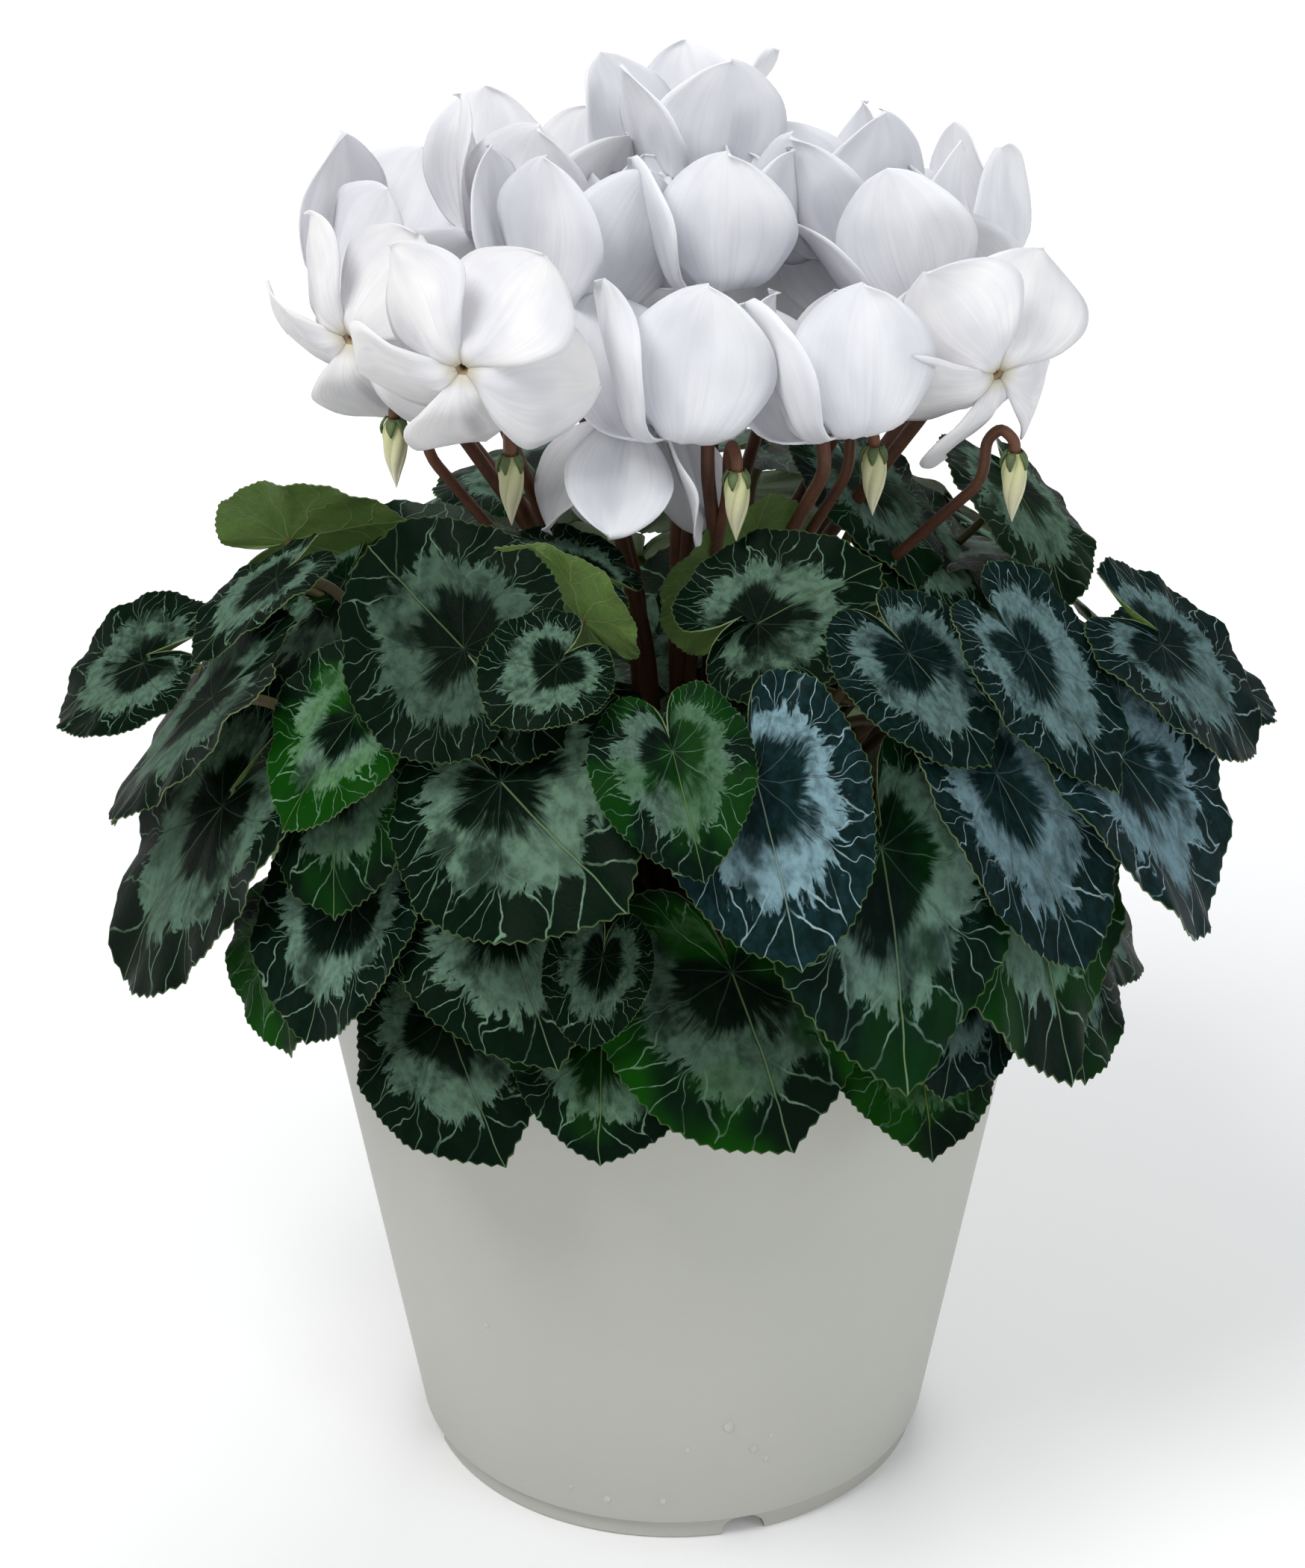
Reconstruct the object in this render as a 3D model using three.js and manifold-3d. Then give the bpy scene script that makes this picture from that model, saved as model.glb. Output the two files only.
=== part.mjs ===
// A florist's cyclamen in a plastic pot: pot, soil, tuber with all its stems, leaves, blooms and buds.
// Millimetres, +Z up. The origin is on the ground under the pot's axis and -Y is the front.
// Places on the plant are polar: [turn, out, up] is degrees from the front (positive to +X),
// distance from the pot's axis and height above the ground.

import * as THREE from 'three';
import Module from 'manifold-3d';
import { mergeVertices } from 'three/addons/utils/BufferGeometryUtils.js';

const wasm = await Module();
wasm.setup();

// Driving dimensions
const POT_HEIGHT = 180;
const RIM_RADIUS = 105;
const FOOT_RADIUS = 74.5;
const POT_WALL = 2.2;
const FOOT_HEIGHT = 7;
const FOOT_STEP = 1.2;
const FOOT_RING = 6;
const LIP_WIDTH = 3.5;
const LIP_HEIGHT = 9;
const FLOOR_THICKNESS = 2.5;
const POT_SIDES = 28;
const NOTCH_COUNT = 4;
const NOTCH_TURN = 16;
const NOTCH_WIDTH = 13;
const DRAIN_RADIUS = 6;
const DRAIN_OUT = 48;
const DRAIN_SIDES = 7;
const SOIL_HEIGHT = 160;
const SOIL_GAP = 0.35;
const TUBER_RADIUS = 31;
const TUBER_TOP = 176;
const TUBER_DEPTH = 16;
const TUBER_SIDES = 12;
const BLADE_THICKNESS = 0.8;
const BLADE_CLEARANCE = 0.5;
const PETAL_THICKNESS = 0.8;
const SEAT_GAP = 0.4;
const LEAF_STEM_RADIUS = 1.5;
const FLOWER_STEM_RADIUS = 1.9;
const MIDDLE_RING = 0.52;
const TOOTH = 0.022;
const LOPSIDED = 0.05;
const PETALS = 5;
const FLOWER_TUBE = 8;
const TUBE_SIDES = 5;
const MOUTH_RADIUS = 4.4;
const PETAL_ROOT = 3.4;
const STEM_SIDES = 4;
const STEM_CLEARANCE = 0.35;
const STEM_SUNK = 3;
const STEM_IN_BLADE = 0.2;
const LIFT_STEP = 0.8;
const LIFT_STEPS = 50;
const FRONT_TURN = 58;
const BLOOM_REACH = 12;
const BLOOM_STEP = 1.5;
const BLOOM_SPINS = [0, 12, 24, 36, 48, 60];
const BLOOM_WAYS = [[1, 0, 0.3], [0.5, 1, 0], [0.5, -1, 0], [0.6, 0, -1], [0.1, 0, 1]];
const KNUCKLE_OUT = 19;
const KNUCKLE_RADIUS = 4.3;
const KNUCKLE_HEIGHT = 7;
const KNUCKLE_SIDES = 6;
const KNUCKLE_SPREAD = 2.5;
const LEAF_STEM_RINGS = [21.5, 17.5, 13.5];
const LEAF_STEM_TURN = 0.95;
const FLOWER_STEM_OUT = { share: 0.11, least: 1 };
const BUD_LENGTH = 16;
const BUD_RADIUS = 3.3;
const BUD_SIDES = 5;
const BUD_STEM_RADIUS = 1.5;
const BUD_STEM_OUT = 9;
const BUD_STEM_TURN = 12;
const UPRIGHT_NOD = 30;
const OWN_BLADE_HITS = 10;
const FINENESS = 0.08;

// What is tried to lead a stem clear. Angles are in degrees, `rise` and `waist` are shares of the way.
const LEAF_STEM_WAYS = {
  under: [50, 30, 70, 15, 88, 100],
  reach: [12, 20, 8, 32, 45],
  rise: [0.55, 0.8, 0.3, 1],
  swing: [0, 14, -14, 28, -28],
  leastRise: 8,
};
const FLOWER_STEM_WAYS = { waist: [0.35, 0.5, 0.2], rise: 0.55, swing: [0, 12, -12, 24, -24], foot: 10 };
const BUD_PLACES = { rise: [0, 4, -4, 8, -8], run: [0, -5, 5, -10, 10] };

// Hooked stem ends, from the flower or bud to the neck, in steps out and back or out and up
const NODDING_HOOK = [[0, 0], [0.4, 4.5], [4.5, 8.5], [9.5, 4.5], [10.5, -5], [11, -15]];
const LEVEL_HOOK = { drops: [8, 14, 4], points: [[0, 0], [6, 0], [13, 0.4], [19, 1.6], [23, 3]] };
const BUD_HOOK = { turns: [0, 40, -40, 80, -80, 180], points: [[0, 0], [0, 4], [4, 7], [8, 3], [8.5, -8]] };

const radians = THREE.MathUtils.degToRad;
const vector = (x, y, z) => new THREE.Vector3(x, y, z);
const UP = vector(0, 0, 1);

// Where the plant is looked at from: a front leaf that has to clear another moves this way
const EYE = vector(0, -856, 600);

/** A seeded draw: the same numbers every time, from 0 to 1. */
function draws(seed) {
  let state = seed >>> 0;
  return () => {
    state = (state + 0x6d2b79f5) >>> 0;
    let t = state;
    t = Math.imul(t ^ (t >>> 15), t | 1);
    t ^= t + Math.imul(t ^ (t >>> 7), t | 61);
    return ((t ^ (t >>> 14)) >>> 0) / 4294967296;
  };
}

const outwards = (turn) => vector(Math.sin(radians(turn)), -Math.cos(radians(turn)), 0);
const place = ([turn, out, up]) => outwards(turn).multiplyScalar(out).setZ(up);
const smooth = (t) => {
  const x = Math.min(1, Math.max(0, t));
  return x * x * (3 - 2 * x);
};

/** Reads a smooth line through [at, value] points. */
function along(points, at) {
  let k = 0;
  while (k < points.length - 2 && at > points[k + 1][0]) k += 1;
  const [x0, y0] = points[k];
  const [x1, y1] = points[k + 1];
  const before = points[Math.max(0, k - 1)];
  const after = points[Math.min(points.length - 1, k + 2)];
  const slope0 = (y1 - before[1]) / (x1 - before[0]);
  const slope1 = (after[1] - y0) / (after[0] - x0);
  const h = x1 - x0;
  const t = Math.min(1, Math.max(0, (at - x0) / h));
  const t2 = t * t;
  const t3 = t2 * t;
  return (2 * t3 - 3 * t2 + 1) * y0 + (t3 - 2 * t2 + t) * h * slope0
    + (3 * t2 - 2 * t3) * y1 + (t3 - t2) * h * slope1;
}

// Solids

/** A closed geometry as a solid that can be joined and cut. */
function solidOf(geometry) {
  const bare = geometry.clone();
  bare.deleteAttribute('normal');
  bare.deleteAttribute('uv');
  const merged = mergeVertices(bare, 1e-4);
  const vertProperties = new Float32Array(merged.attributes.position.array);
  const triVerts = new Uint32Array(merged.index.array);
  return new wasm.Manifold(new wasm.Mesh({ numProp: 3, vertProperties, triVerts }));
}

function geometryOf(solid) {
  const mesh = solid.getMesh();
  const geometry = new THREE.BufferGeometry();
  geometry.setAttribute('position', new THREE.Float32BufferAttribute(mesh.vertProperties, 3));
  geometry.setIndex([...mesh.triVerts]);
  geometry.computeVertexNormals();
  return geometry;
}

/** Gives a sheet its thickness. Both faces keep the sheet's own triangles. */
function thicken(points, triangles, thickness) {
  const normals = points.map(() => vector(0, 0, 0));
  const edges = new Set();
  for (const [a, b, c] of triangles) {
    const side = points[b].clone().sub(points[a]);
    const normal = side.cross(points[c].clone().sub(points[a]));
    for (const i of [a, b, c]) normals[i].add(normal);
    for (const [i, j] of [[a, b], [b, c], [c, a]]) edges.add(`${i},${j}`);
  }
  const count = points.length;
  const position = [];
  for (const side of [0.5, -0.5]) {
    points.forEach((p, i) => {
      const q = p.clone().addScaledVector(normals[i].clone().normalize(), side * thickness);
      position.push(q.x, q.y, q.z);
    });
  }
  const index = [];
  for (const [a, b, c] of triangles) {
    index.push(a, b, c);
    index.push(a + count, c + count, b + count);
    for (const [i, j] of [[a, b], [b, c], [c, a]]) {
      if (!edges.has(`${j},${i}`)) {
        index.push(j, i, i + count);
        index.push(j, i + count, j + count);
      }
    }
  }
  const geometry = new THREE.BufferGeometry();
  geometry.setAttribute('position', new THREE.Float32BufferAttribute(position, 3));
  geometry.setIndex(index);
  return geometry;
}

/** A turned body whose profile of [radius, height] points starts and ends on the axis. */
function turned(profile, sides) {
  return new THREE.LatheGeometry(profile.map(([r, z]) => new THREE.Vector2(r, z)), sides)
    .rotateX(Math.PI / 2);
}

function roundSection(radius, sides) {
  const shape = new THREE.Shape();
  for (let i = 0; i < sides; i += 1) {
    const a = (2 * Math.PI * i) / sides;
    if (i === 0) shape.moveTo(radius * Math.cos(a), radius * Math.sin(a));
    else shape.lineTo(radius * Math.cos(a), radius * Math.sin(a));
  }
  shape.closePath();
  return shape;
}

/** A smooth line through its points that spends the same share of its steps on each stretch. */
class StemLine extends THREE.CatmullRomCurve3 {
  getPointAt(share, target) {
    return this.getPoint(share, target);
  }

  getTangentAt(share, target) {
    return this.getTangent(share, target);
  }
}

/** A round stem that bends at each of its points. */
function stem(points, radius) {
  const extrudePath = new StemLine(points, false, 'centripetal');
  const settings = { steps: points.length - 1, extrudePath, bevelEnabled: false };
  return solidOf(new THREE.ExtrudeGeometry(roundSection(radius, STEM_SIDES), settings));
}

/** Bends a strip: `turn` is the angle per millimetre along it, downwards where positive. */
function bent(run, height, turn) {
  if (Math.abs(turn) < 1e-6) return [run, height];
  const a = run * turn;
  return [Math.sin(a) / turn + height * Math.sin(a), (Math.cos(a) - 1) / turn + height * Math.cos(a)];
}

// Leaves: a heart-shaped blade, given from the stem's end in its notch

/** Distance from the stem to the edge, as a share of the midrib, by degrees from the tip. */
const HEART = [
  [0, 1], [12, 0.9], [32, 0.8], [60, 0.73], [92, 0.68],
  [122, 0.64], [146, 0.59], [163, 0.48], [174, 0.27], [180, 0.08],
];

const LEAF = {
  width: 1, fold: 0.07, cup: 0.03, wave: 0.035, waves: 3, bend: 24, sag: 26, tilt: 58, roll: 0,
  middle: 5, edge: 16,
};

/** One point of a blade's middle sheet: `share` from the stem to the edge, `angle` from the tip. */
function leafPoint(leaf, length, share, angle, tooth) {
  const degrees = Math.abs(THREE.MathUtils.radToDeg(angle));
  const side = angle < 0 ? -1 : 1;
  const lopsided = 1 + LOPSIDED * side * Math.sin(leaf.phase);
  const reach = length * along(HEART, degrees) * lopsided * (1 + tooth) * share;
  const u = reach * Math.cos(angle);
  const v = reach * Math.sin(angle) * leaf.width;
  const rim = share * share;
  const rise = leaf.fold * Math.abs(v)
    + leaf.cup * length * rim
    + leaf.wave * length * rim * share * Math.sin(leaf.waves * angle + leaf.phase);
  const [v2, w2] = bent(v, rise, radians(leaf.sag) / length);
  const [u3, w3] = bent(u, w2, radians(leaf.bend) / length);
  return [u3, v2, w3];
}

/** The blade's frame: where its stem ends, its midrib, its side and the way it faces. */
function leafFrame(leaf) {
  const root = place(leaf.root);
  const tip = place(leaf.tip);
  const midrib = tip.clone().sub(root);
  const chord = midrib.length();
  midrib.normalize();
  const facing = outwards(leaf.root[0]).multiplyScalar(Math.sin(radians(leaf.tilt)))
    .addScaledVector(UP, Math.cos(radians(leaf.tilt)));
  const normal = facing.addScaledVector(midrib, -facing.dot(midrib)).normalize();
  normal.applyAxisAngle(midrib, radians(leaf.roll));
  const half = radians(leaf.bend) / 2;
  const length = Math.abs(half) < 1e-3 ? chord : (chord * half) / Math.sin(half);
  const start = midrib.clone().multiplyScalar(Math.cos(half)).addScaledVector(normal, Math.sin(half));
  const facingStart = normal.multiplyScalar(Math.cos(half)).addScaledVector(midrib, -Math.sin(half));
  const side = facingStart.clone().cross(start);
  return { root, midrib: start, side, normal: facingStart, length };
}

/** Triangles between two closed rings of points that start at the same angle. */
function ringTriangles(inner, innerCount, outer, outerCount) {
  const triangles = [];
  let i = 0;
  let j = 0;
  while (i < innerCount || j < outerCount) {
    const a = inner + (i % innerCount);
    const b = outer + (j % outerCount);
    if (j < outerCount && (i >= innerCount || (j + 1) / outerCount <= (i + 1) / innerCount)) {
      triangles.push([a, b, outer + ((j + 1) % outerCount)]);
      j += 1;
    } else {
      triangles.push([a, b, inner + ((i + 1) % innerCount)]);
      i += 1;
    }
  }
  return triangles;
}

function leafGeometry(leaf, frame, thickness) {
  const points = [];
  const add = (share, angle, tooth) => {
    const [u, v, w] = leafPoint(leaf, frame.length, share, angle, tooth);
    points.push(frame.root.clone().addScaledVector(frame.midrib, u)
      .addScaledVector(frame.side, v).addScaledVector(frame.normal, w));
  };
  add(0, 0, 0);
  const { middle, edge } = leaf;
  for (let i = 0; i < middle; i += 1) add(MIDDLE_RING, (2 * Math.PI * i) / middle - Math.PI, 0);
  for (let i = 0; i < edge; i += 1) {
    add(1, (2 * Math.PI * i) / edge - Math.PI, i % 2 === 0 ? TOOTH : -TOOTH);
  }
  const triangles = [];
  for (let i = 0; i < middle; i += 1) triangles.push([0, 1 + i, 1 + ((i + 1) % middle)]);
  triangles.push(...ringTriangles(1, middle, 1 + middle, edge));
  return thicken(points, triangles, thickness);
}

// The front leaves, from the lowest and innermost to the uppermost and outermost
const FRONT_LEAVES = [
  { root: [-31, 113, 184], tip: [-19, 129, 154] },
  { root: [-9, 114, 186], tip: [-8, 129, 157], width: 1.1 },
  { root: [33, 113, 182], tip: [31, 128, 148], width: 1.1 },
  { root: [-59, 118, 194], tip: [-49, 131, 164] },
  { root: [54, 122, 194], tip: [49, 140, 158], tilt: 66 },
  { root: [39, 116, 196], tip: [31, 133, 166], tilt: 66 },
  { root: [-42, 122, 214], tip: [-44, 136, 174], fold: 0.2, width: 0.85 },
  { root: [-21, 116, 220], tip: [-12, 136, 188], bend: 30 },
  { root: [-8, 124, 214], tip: [-9, 134, 192], width: 0.8 },
  { root: [7, 120, 208], tip: [13, 136, 163] },
  { root: [44, 122, 232], tip: [45, 143, 166], width: 0.74, tilt: 66 },
  { root: [26, 118, 236], tip: [24, 141, 180], width: 0.85, tilt: 62 },
  { root: [-61, 134, 228], tip: [-74, 154, 164], width: 0.6, tilt: 70 },
  { root: [-44, 118, 250], tip: [-38, 136, 214], width: 0.85 },
  { root: [-20, 122, 258], tip: [-4, 146, 238], width: 1.05 },
  { root: [9, 128, 264], tip: [12, 148, 220], width: 0.8, tilt: 64 },
  { root: [0, 128, 272], tip: [3, 146, 246], width: 0.85, fold: 0.16 },
  { root: [37, 132, 256], tip: [43, 150, 202], width: 0.56, fold: 0.2, tilt: 70 },
  { root: [54, 140, 250], tip: [64, 158, 194], width: 0.58, fold: 0.2, tilt: 70 },
  { root: [-28, 102, 275], tip: [-12, 120, 267], width: 0.7, tilt: 40 },
  { root: [-32, 98, 280], tip: [-56, 92, 294], cup: 0.08, tilt: 52, fold: 0.02 },
  { root: [-42, 118, 264], tip: [-46, 136, 234], fold: 0.2, width: 0.82 },
  { root: [-62, 134, 258], tip: [-76, 152, 212], width: 0.6, roll: 16 },
  { root: [-80, 142, 250], tip: [-88, 168, 226], width: 0.7, roll: -10 },
  { root: [-66, 108, 276], tip: [-65, 132, 256], width: 0.8 },
  { root: [31, 112, 284], tip: [36, 133, 258], width: 0.8 },
  { root: [46, 122, 280], tip: [50, 143, 244], width: 0.72 },
  { root: [63, 134, 268], tip: [72, 156, 232], width: 0.7 },
  { root: [80, 138, 252], tip: [86, 166, 230], width: 0.7, tilt: 60 },
  { root: [-16, 102, 282], tip: [-22, 117, 270], cup: 0.09, wave: 0.05 },
  { root: [15, 82, 285], tip: [38, 84, 293], cup: 0.16, tilt: 28, fold: 0.02 },
  { root: [-22, 62, 290], tip: [-46, 72, 294], tilt: 14, width: 0.7 },
];

// Round the sides and the back the leaves stand in bunches, each leaf a shingle of its row
const BUNCH_TURNS = { from: 81, to: 266, count: 7 };
const BUNCH_LEAVES = [
  { root: [0, 114, 184], tip: [3, 132, 146], tilt: 62 },
  { root: [11, 122, 222], tip: [8, 148, 180], tilt: 58 },
  { root: [-2, 106, 256], tip: [-6, 140, 222], tilt: 46 },
];
const BUNCH_CROWN_LEAF = { root: [10, 66, 268], tip: [6, 102, 262], tilt: 26 };

const bunchTurn = (i) => (
  BUNCH_TURNS.from + ((BUNCH_TURNS.to - BUNCH_TURNS.from) * i) / (BUNCH_TURNS.count - 1)
);

function frontLeaves() {
  const draw = draws(20240711);
  return FRONT_LEAVES.map((leaf) => ({ ...LEAF, ...leaf, phase: draw() * 2 * Math.PI }));
}

/** The leaves of each bunch, from its lowest to its uppermost. */
function leafBunches() {
  const draw = draws(5150);
  const jitter = (spread) => (draw() - 0.5) * 2 * spread;
  const bunches = [];
  for (let i = 0; i < BUNCH_TURNS.count; i += 1) {
    const turn = bunchTurn(i);
    const own = i % 2 === 0 ? [...BUNCH_LEAVES, BUNCH_CROWN_LEAF] : BUNCH_LEAVES;
    bunches.push(own.map((leaf) => ({
      ...LEAF,
      root: [turn + leaf.root[0] + jitter(2), leaf.root[1] + jitter(2), leaf.root[2] + jitter(4)],
      tip: [turn + leaf.tip[0] + jitter(7), leaf.tip[1] + jitter(3), leaf.tip[2] + jitter(4)],
      tilt: leaf.tilt + jitter(5),
      width: 1 + jitter(0.1),
      phase: draw() * 2 * Math.PI,
      edge: 12,
    })));
  }
  return bunches;
}

// Blooms: five petals swept back from the mouth of a short tube, like blades of a pinwheel

const BLOOM = {
  nod: 70, face: 0, spin: 0, flare: 162, length: 46.5, width: 17, twist: 22, cup: 0.16,
};

/** Half the width of a petal, as a share of its widest, along it. */
const PETAL = [
  [0, 0.09], [0.12, 0.2], [0.3, 0.55], [0.5, 0.9], [0.66, 1], [0.84, 0.84], [0.95, 0.46], [1, 0],
];

/** A petal leaves the mouth at `lean` degrees from the way it faces and has its full flare at `full`. */
const PETAL_CURVE = { base: 1.5, lean: 75, full: 0.32, steps: 12 };

// [turn, out, up] of the mouth; `face` is the turn that it looks to, `nod` how far it looks down
const PINWHEEL = { nod: 14, flare: 124, spin: 180, length: 37.5, width: 16.5 };
const BELL = { nod: 74, flare: 26, length: 36, width: 13 };
const BLOOMS = [
  { at: [-60, 95, 348], face: -32, ...PINWHEEL },
  { at: [-31, 99, 352], face: -12, ...PINWHEEL },
  { at: [55, 100, 342], face: 32, ...PINWHEEL },
  { at: [0, 62, 326], nod: 70, face: -8, length: 48, width: 18 },
  { at: [34, 75, 327], nod: 70, face: 24, length: 46, width: 17 },
  { at: [-12, 42, 330], face: -14, ...BELL },
  { at: [-50, 38, 350], nod: 74, face: -34 },
  { at: [76, 64, 346], nod: 66, face: 62, width: 17 },
  { at: [162, 13, 372], nod: 84, face: 20, length: 43 },
  { at: [-102, 44, 356], nod: 76, face: -70 },
  { at: [93, 42, 356], nod: 76, face: 60, length: 44 },
  { at: [-103, 84, 342], nod: 60, face: -100 },
  { at: [113, 90, 338], nod: 60, face: 110 },
  { at: [178, 74, 342], nod: 60, face: 178 },
  { at: [24, 26, 354], nod: 76, face: 12, length: 43 },
];

// Buds hang among the blooms, given by the middle of the bud
const BUDS = [[-60, 82, 318], [-35, 76, 314], [14, 66, 312], [45, 72, 314], [60, 100, 312]];

/** The bloom's frame: z runs from the mouth back to the stem. */
function bloomFrame(bloom) {
  const mouth = outwards(bloom.face).multiplyScalar(Math.cos(radians(bloom.nod)))
    .addScaledVector(UP, -Math.sin(radians(bloom.nod)));
  const back = mouth.negate();
  const side = UP.clone().addScaledVector(back, -UP.dot(back)).normalize();
  const other = back.clone().cross(side);
  return { at: place(bloom.at), side, other, back };
}

/** One point of a petal's middle sheet, `share` along it and `across` from -1 to 1. */
function petalPoint(bloom, frame, turn, share, across) {
  const { base, full, steps } = PETAL_CURVE;
  const leanAt = (at) => (
    radians(PETAL_CURVE.lean + (bloom.flare - PETAL_CURVE.lean) * smooth(at / full))
  );
  const step = (share * bloom.length) / steps;
  let out = PETAL_ROOT;
  let back = base;
  for (let k = 0; k < steps; k += 1) {
    const passing = leanAt((share * (k + 0.5)) / steps);
    out += Math.sin(passing) * step;
    back -= Math.cos(passing) * step;
  }
  const lean = leanAt(share);
  const half = bloom.width * along(PETAL, share);
  const twist = radians(bloom.twist) * smooth(share / 0.3);
  const radial = frame.side.clone().multiplyScalar(Math.cos(turn))
    .addScaledVector(frame.other, Math.sin(turn));
  const around = frame.back.clone().cross(radial);
  const forward = radial.clone().multiplyScalar(Math.sin(lean)).addScaledVector(frame.back, -Math.cos(lean));
  const face = forward.clone().cross(around);
  const across3 = around.clone().multiplyScalar(Math.cos(twist)).addScaledVector(face, -Math.sin(twist));
  const normal = face.clone().multiplyScalar(Math.cos(twist)).addScaledVector(around, Math.sin(twist));
  return frame.at.clone()
    .addScaledVector(radial, out)
    .addScaledVector(frame.back, back)
    .addScaledVector(across3, half * across)
    .addScaledVector(normal, bloom.cup * half * across * across);
}

const PETAL_ROWS = [0, 0.3, 0.7];

function petalSolid(bloom, frame, turn, thickness) {
  const points = [];
  for (const share of PETAL_ROWS) {
    for (const across of [-1, 0, 1]) points.push(petalPoint(bloom, frame, turn, share, across));
  }
  points.push(petalPoint(bloom, frame, turn, 1, 0));
  const triangles = [];
  for (let row = 0; row < PETAL_ROWS.length - 1; row += 1) {
    for (let col = 0; col < 2; col += 1) {
      const a = row * 3 + col;
      triangles.push([a, a + 3, a + 1]);
      triangles.push([a + 1, a + 3, a + 4]);
    }
  }
  const last = (PETAL_ROWS.length - 1) * 3;
  triangles.push([last, last + 3, last + 1]);
  triangles.push([last + 1, last + 3, last + 2]);
  return solidOf(thicken(points, triangles, thickness));
}

function alignedTo(frame) {
  return new THREE.Matrix4().makeBasis(frame.side, frame.other, frame.back).setPosition(frame.at);
}

function bloomSolid(bloom, frame, thickness) {
  const profile = [
    [0, 0], [MOUTH_RADIUS, 0], [MOUTH_RADIUS - 1.2, FLOWER_TUBE], [0, FLOWER_TUBE],
  ];
  const solids = [solidOf(turned(profile, TUBE_SIDES).applyMatrix4(alignedTo(frame)))];
  for (let k = 0; k < PETALS; k += 1) {
    const turn = radians(bloom.spin + (360 * k) / PETALS);
    solids.push(petalSolid(bloom, frame, turn, thickness));
  }
  return wasm.Manifold.union(solids);
}

/** Whether two solids share any space. Far ones are told apart by their boxes alone. */
function meets(a, b) {
  const p = a.boundingBox();
  const q = b.boundingBox();
  for (let k = 0; k < 3; k += 1) {
    if (p.min[k] > q.max[k] || q.min[k] > p.max[k]) return false;
  }
  return !a.intersect(b).isEmpty();
}

/** The largest body of a solid: scraps that a cut leaves loose are dropped. */
function oneBody(solid) {
  return solid.decompose().reduce((a, b) => (b.volume() > a.volume() ? b : a));
}

/** How far a piece moves along a direction, in small steps, until it clears what is there already. */
function liftClear(guard, direction, others) {
  for (let k = 0; k <= LIFT_STEPS; k += 1) {
    const shift = direction.clone().multiplyScalar(LIFT_STEP * k);
    const moved = guard.translate([shift.x, shift.y, shift.z]);
    if (!others.some((other) => meets(moved, other))) return shift;
  }
  return direction.clone().multiplyScalar(LIFT_STEP * LIFT_STEPS);
}

const colours = {
  pot: new THREE.MeshStandardMaterial({ color: 0xb2b3ac, roughness: 0.55, metalness: 0 }),
  soil: new THREE.MeshStandardMaterial({ color: 0x2a1d14, roughness: 1, metalness: 0 }),
  stem: new THREE.MeshStandardMaterial({ color: 0x5a321e, roughness: 0.6, metalness: 0 }),
  leaf: new THREE.MeshStandardMaterial({ color: 0x24503a, roughness: 0.6, metalness: 0 }),
  petal: new THREE.MeshStandardMaterial({ color: 0xf4f4f6, roughness: 0.5, metalness: 0 }),
};

const plant = new THREE.Group();

function addPiece(name, solid, material) {
  const mesh = new THREE.Mesh(geometryOf(solid.simplify(FINENESS)), material);
  mesh.name = name;
  plant.add(mesh);
}

// Pot and soil
const wallRadius = (z) => FOOT_RADIUS + ((RIM_RADIUS - FOOT_RADIUS) * z) / POT_HEIGHT;
const FLOOR_TOP = FOOT_HEIGHT + FLOOR_THICKNESS;

function potSolid() {
  const inside = (z) => wallRadius(z) - POT_WALL;
  const profile = [
    [0, FOOT_HEIGHT],
    [FOOT_RADIUS - FOOT_RING, FOOT_HEIGHT],
    [FOOT_RADIUS - FOOT_RING, 0],
    [FOOT_RADIUS - FOOT_STEP, 0],
    [FOOT_RADIUS - FOOT_STEP, FOOT_HEIGHT],
    [wallRadius(FOOT_HEIGHT + 1), FOOT_HEIGHT + 1],
    [wallRadius(POT_HEIGHT - LIP_HEIGHT), POT_HEIGHT - LIP_HEIGHT],
    [wallRadius(POT_HEIGHT) + LIP_WIDTH, POT_HEIGHT - LIP_HEIGHT + 1],
    [wallRadius(POT_HEIGHT) + LIP_WIDTH, POT_HEIGHT - 1],
    [wallRadius(POT_HEIGHT) + 1, POT_HEIGHT],
    [inside(POT_HEIGHT), POT_HEIGHT],
    [inside(FLOOR_TOP), FLOOR_TOP],
    [0, FLOOR_TOP],
  ];
  let solid = solidOf(turned(profile, POT_SIDES));
  for (let k = 0; k < NOTCH_COUNT; k += 1) {
    const turn = radians(NOTCH_TURN + (360 * k) / NOTCH_COUNT);
    const arch = new THREE.Shape();
    arch.moveTo(-NOTCH_WIDTH / 2, -2);
    arch.lineTo(NOTCH_WIDTH / 2, -2);
    for (let i = 0; i <= 5; i += 1) {
      const a = (Math.PI * i) / 5;
      arch.lineTo((NOTCH_WIDTH / 2) * Math.cos(a), 1 + (FOOT_HEIGHT - 2) * Math.sin(a));
    }
    const notch = new THREE.ExtrudeGeometry(arch, { depth: 2 * FOOT_RING, bevelEnabled: false });
    notch.rotateX(Math.PI / 2).translate(0, 1.5 * FOOT_RING - FOOT_RADIUS, 0).rotateZ(turn);
    const hole = new THREE.CylinderGeometry(DRAIN_RADIUS, DRAIN_RADIUS, 4 * FLOOR_THICKNESS, DRAIN_SIDES);
    hole.rotateX(Math.PI / 2).translate(0, -DRAIN_OUT, FOOT_HEIGHT).rotateZ(turn);
    solid = solid.subtract(solidOf(notch)).subtract(solidOf(hole));
  }
  return solid;
}

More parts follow.
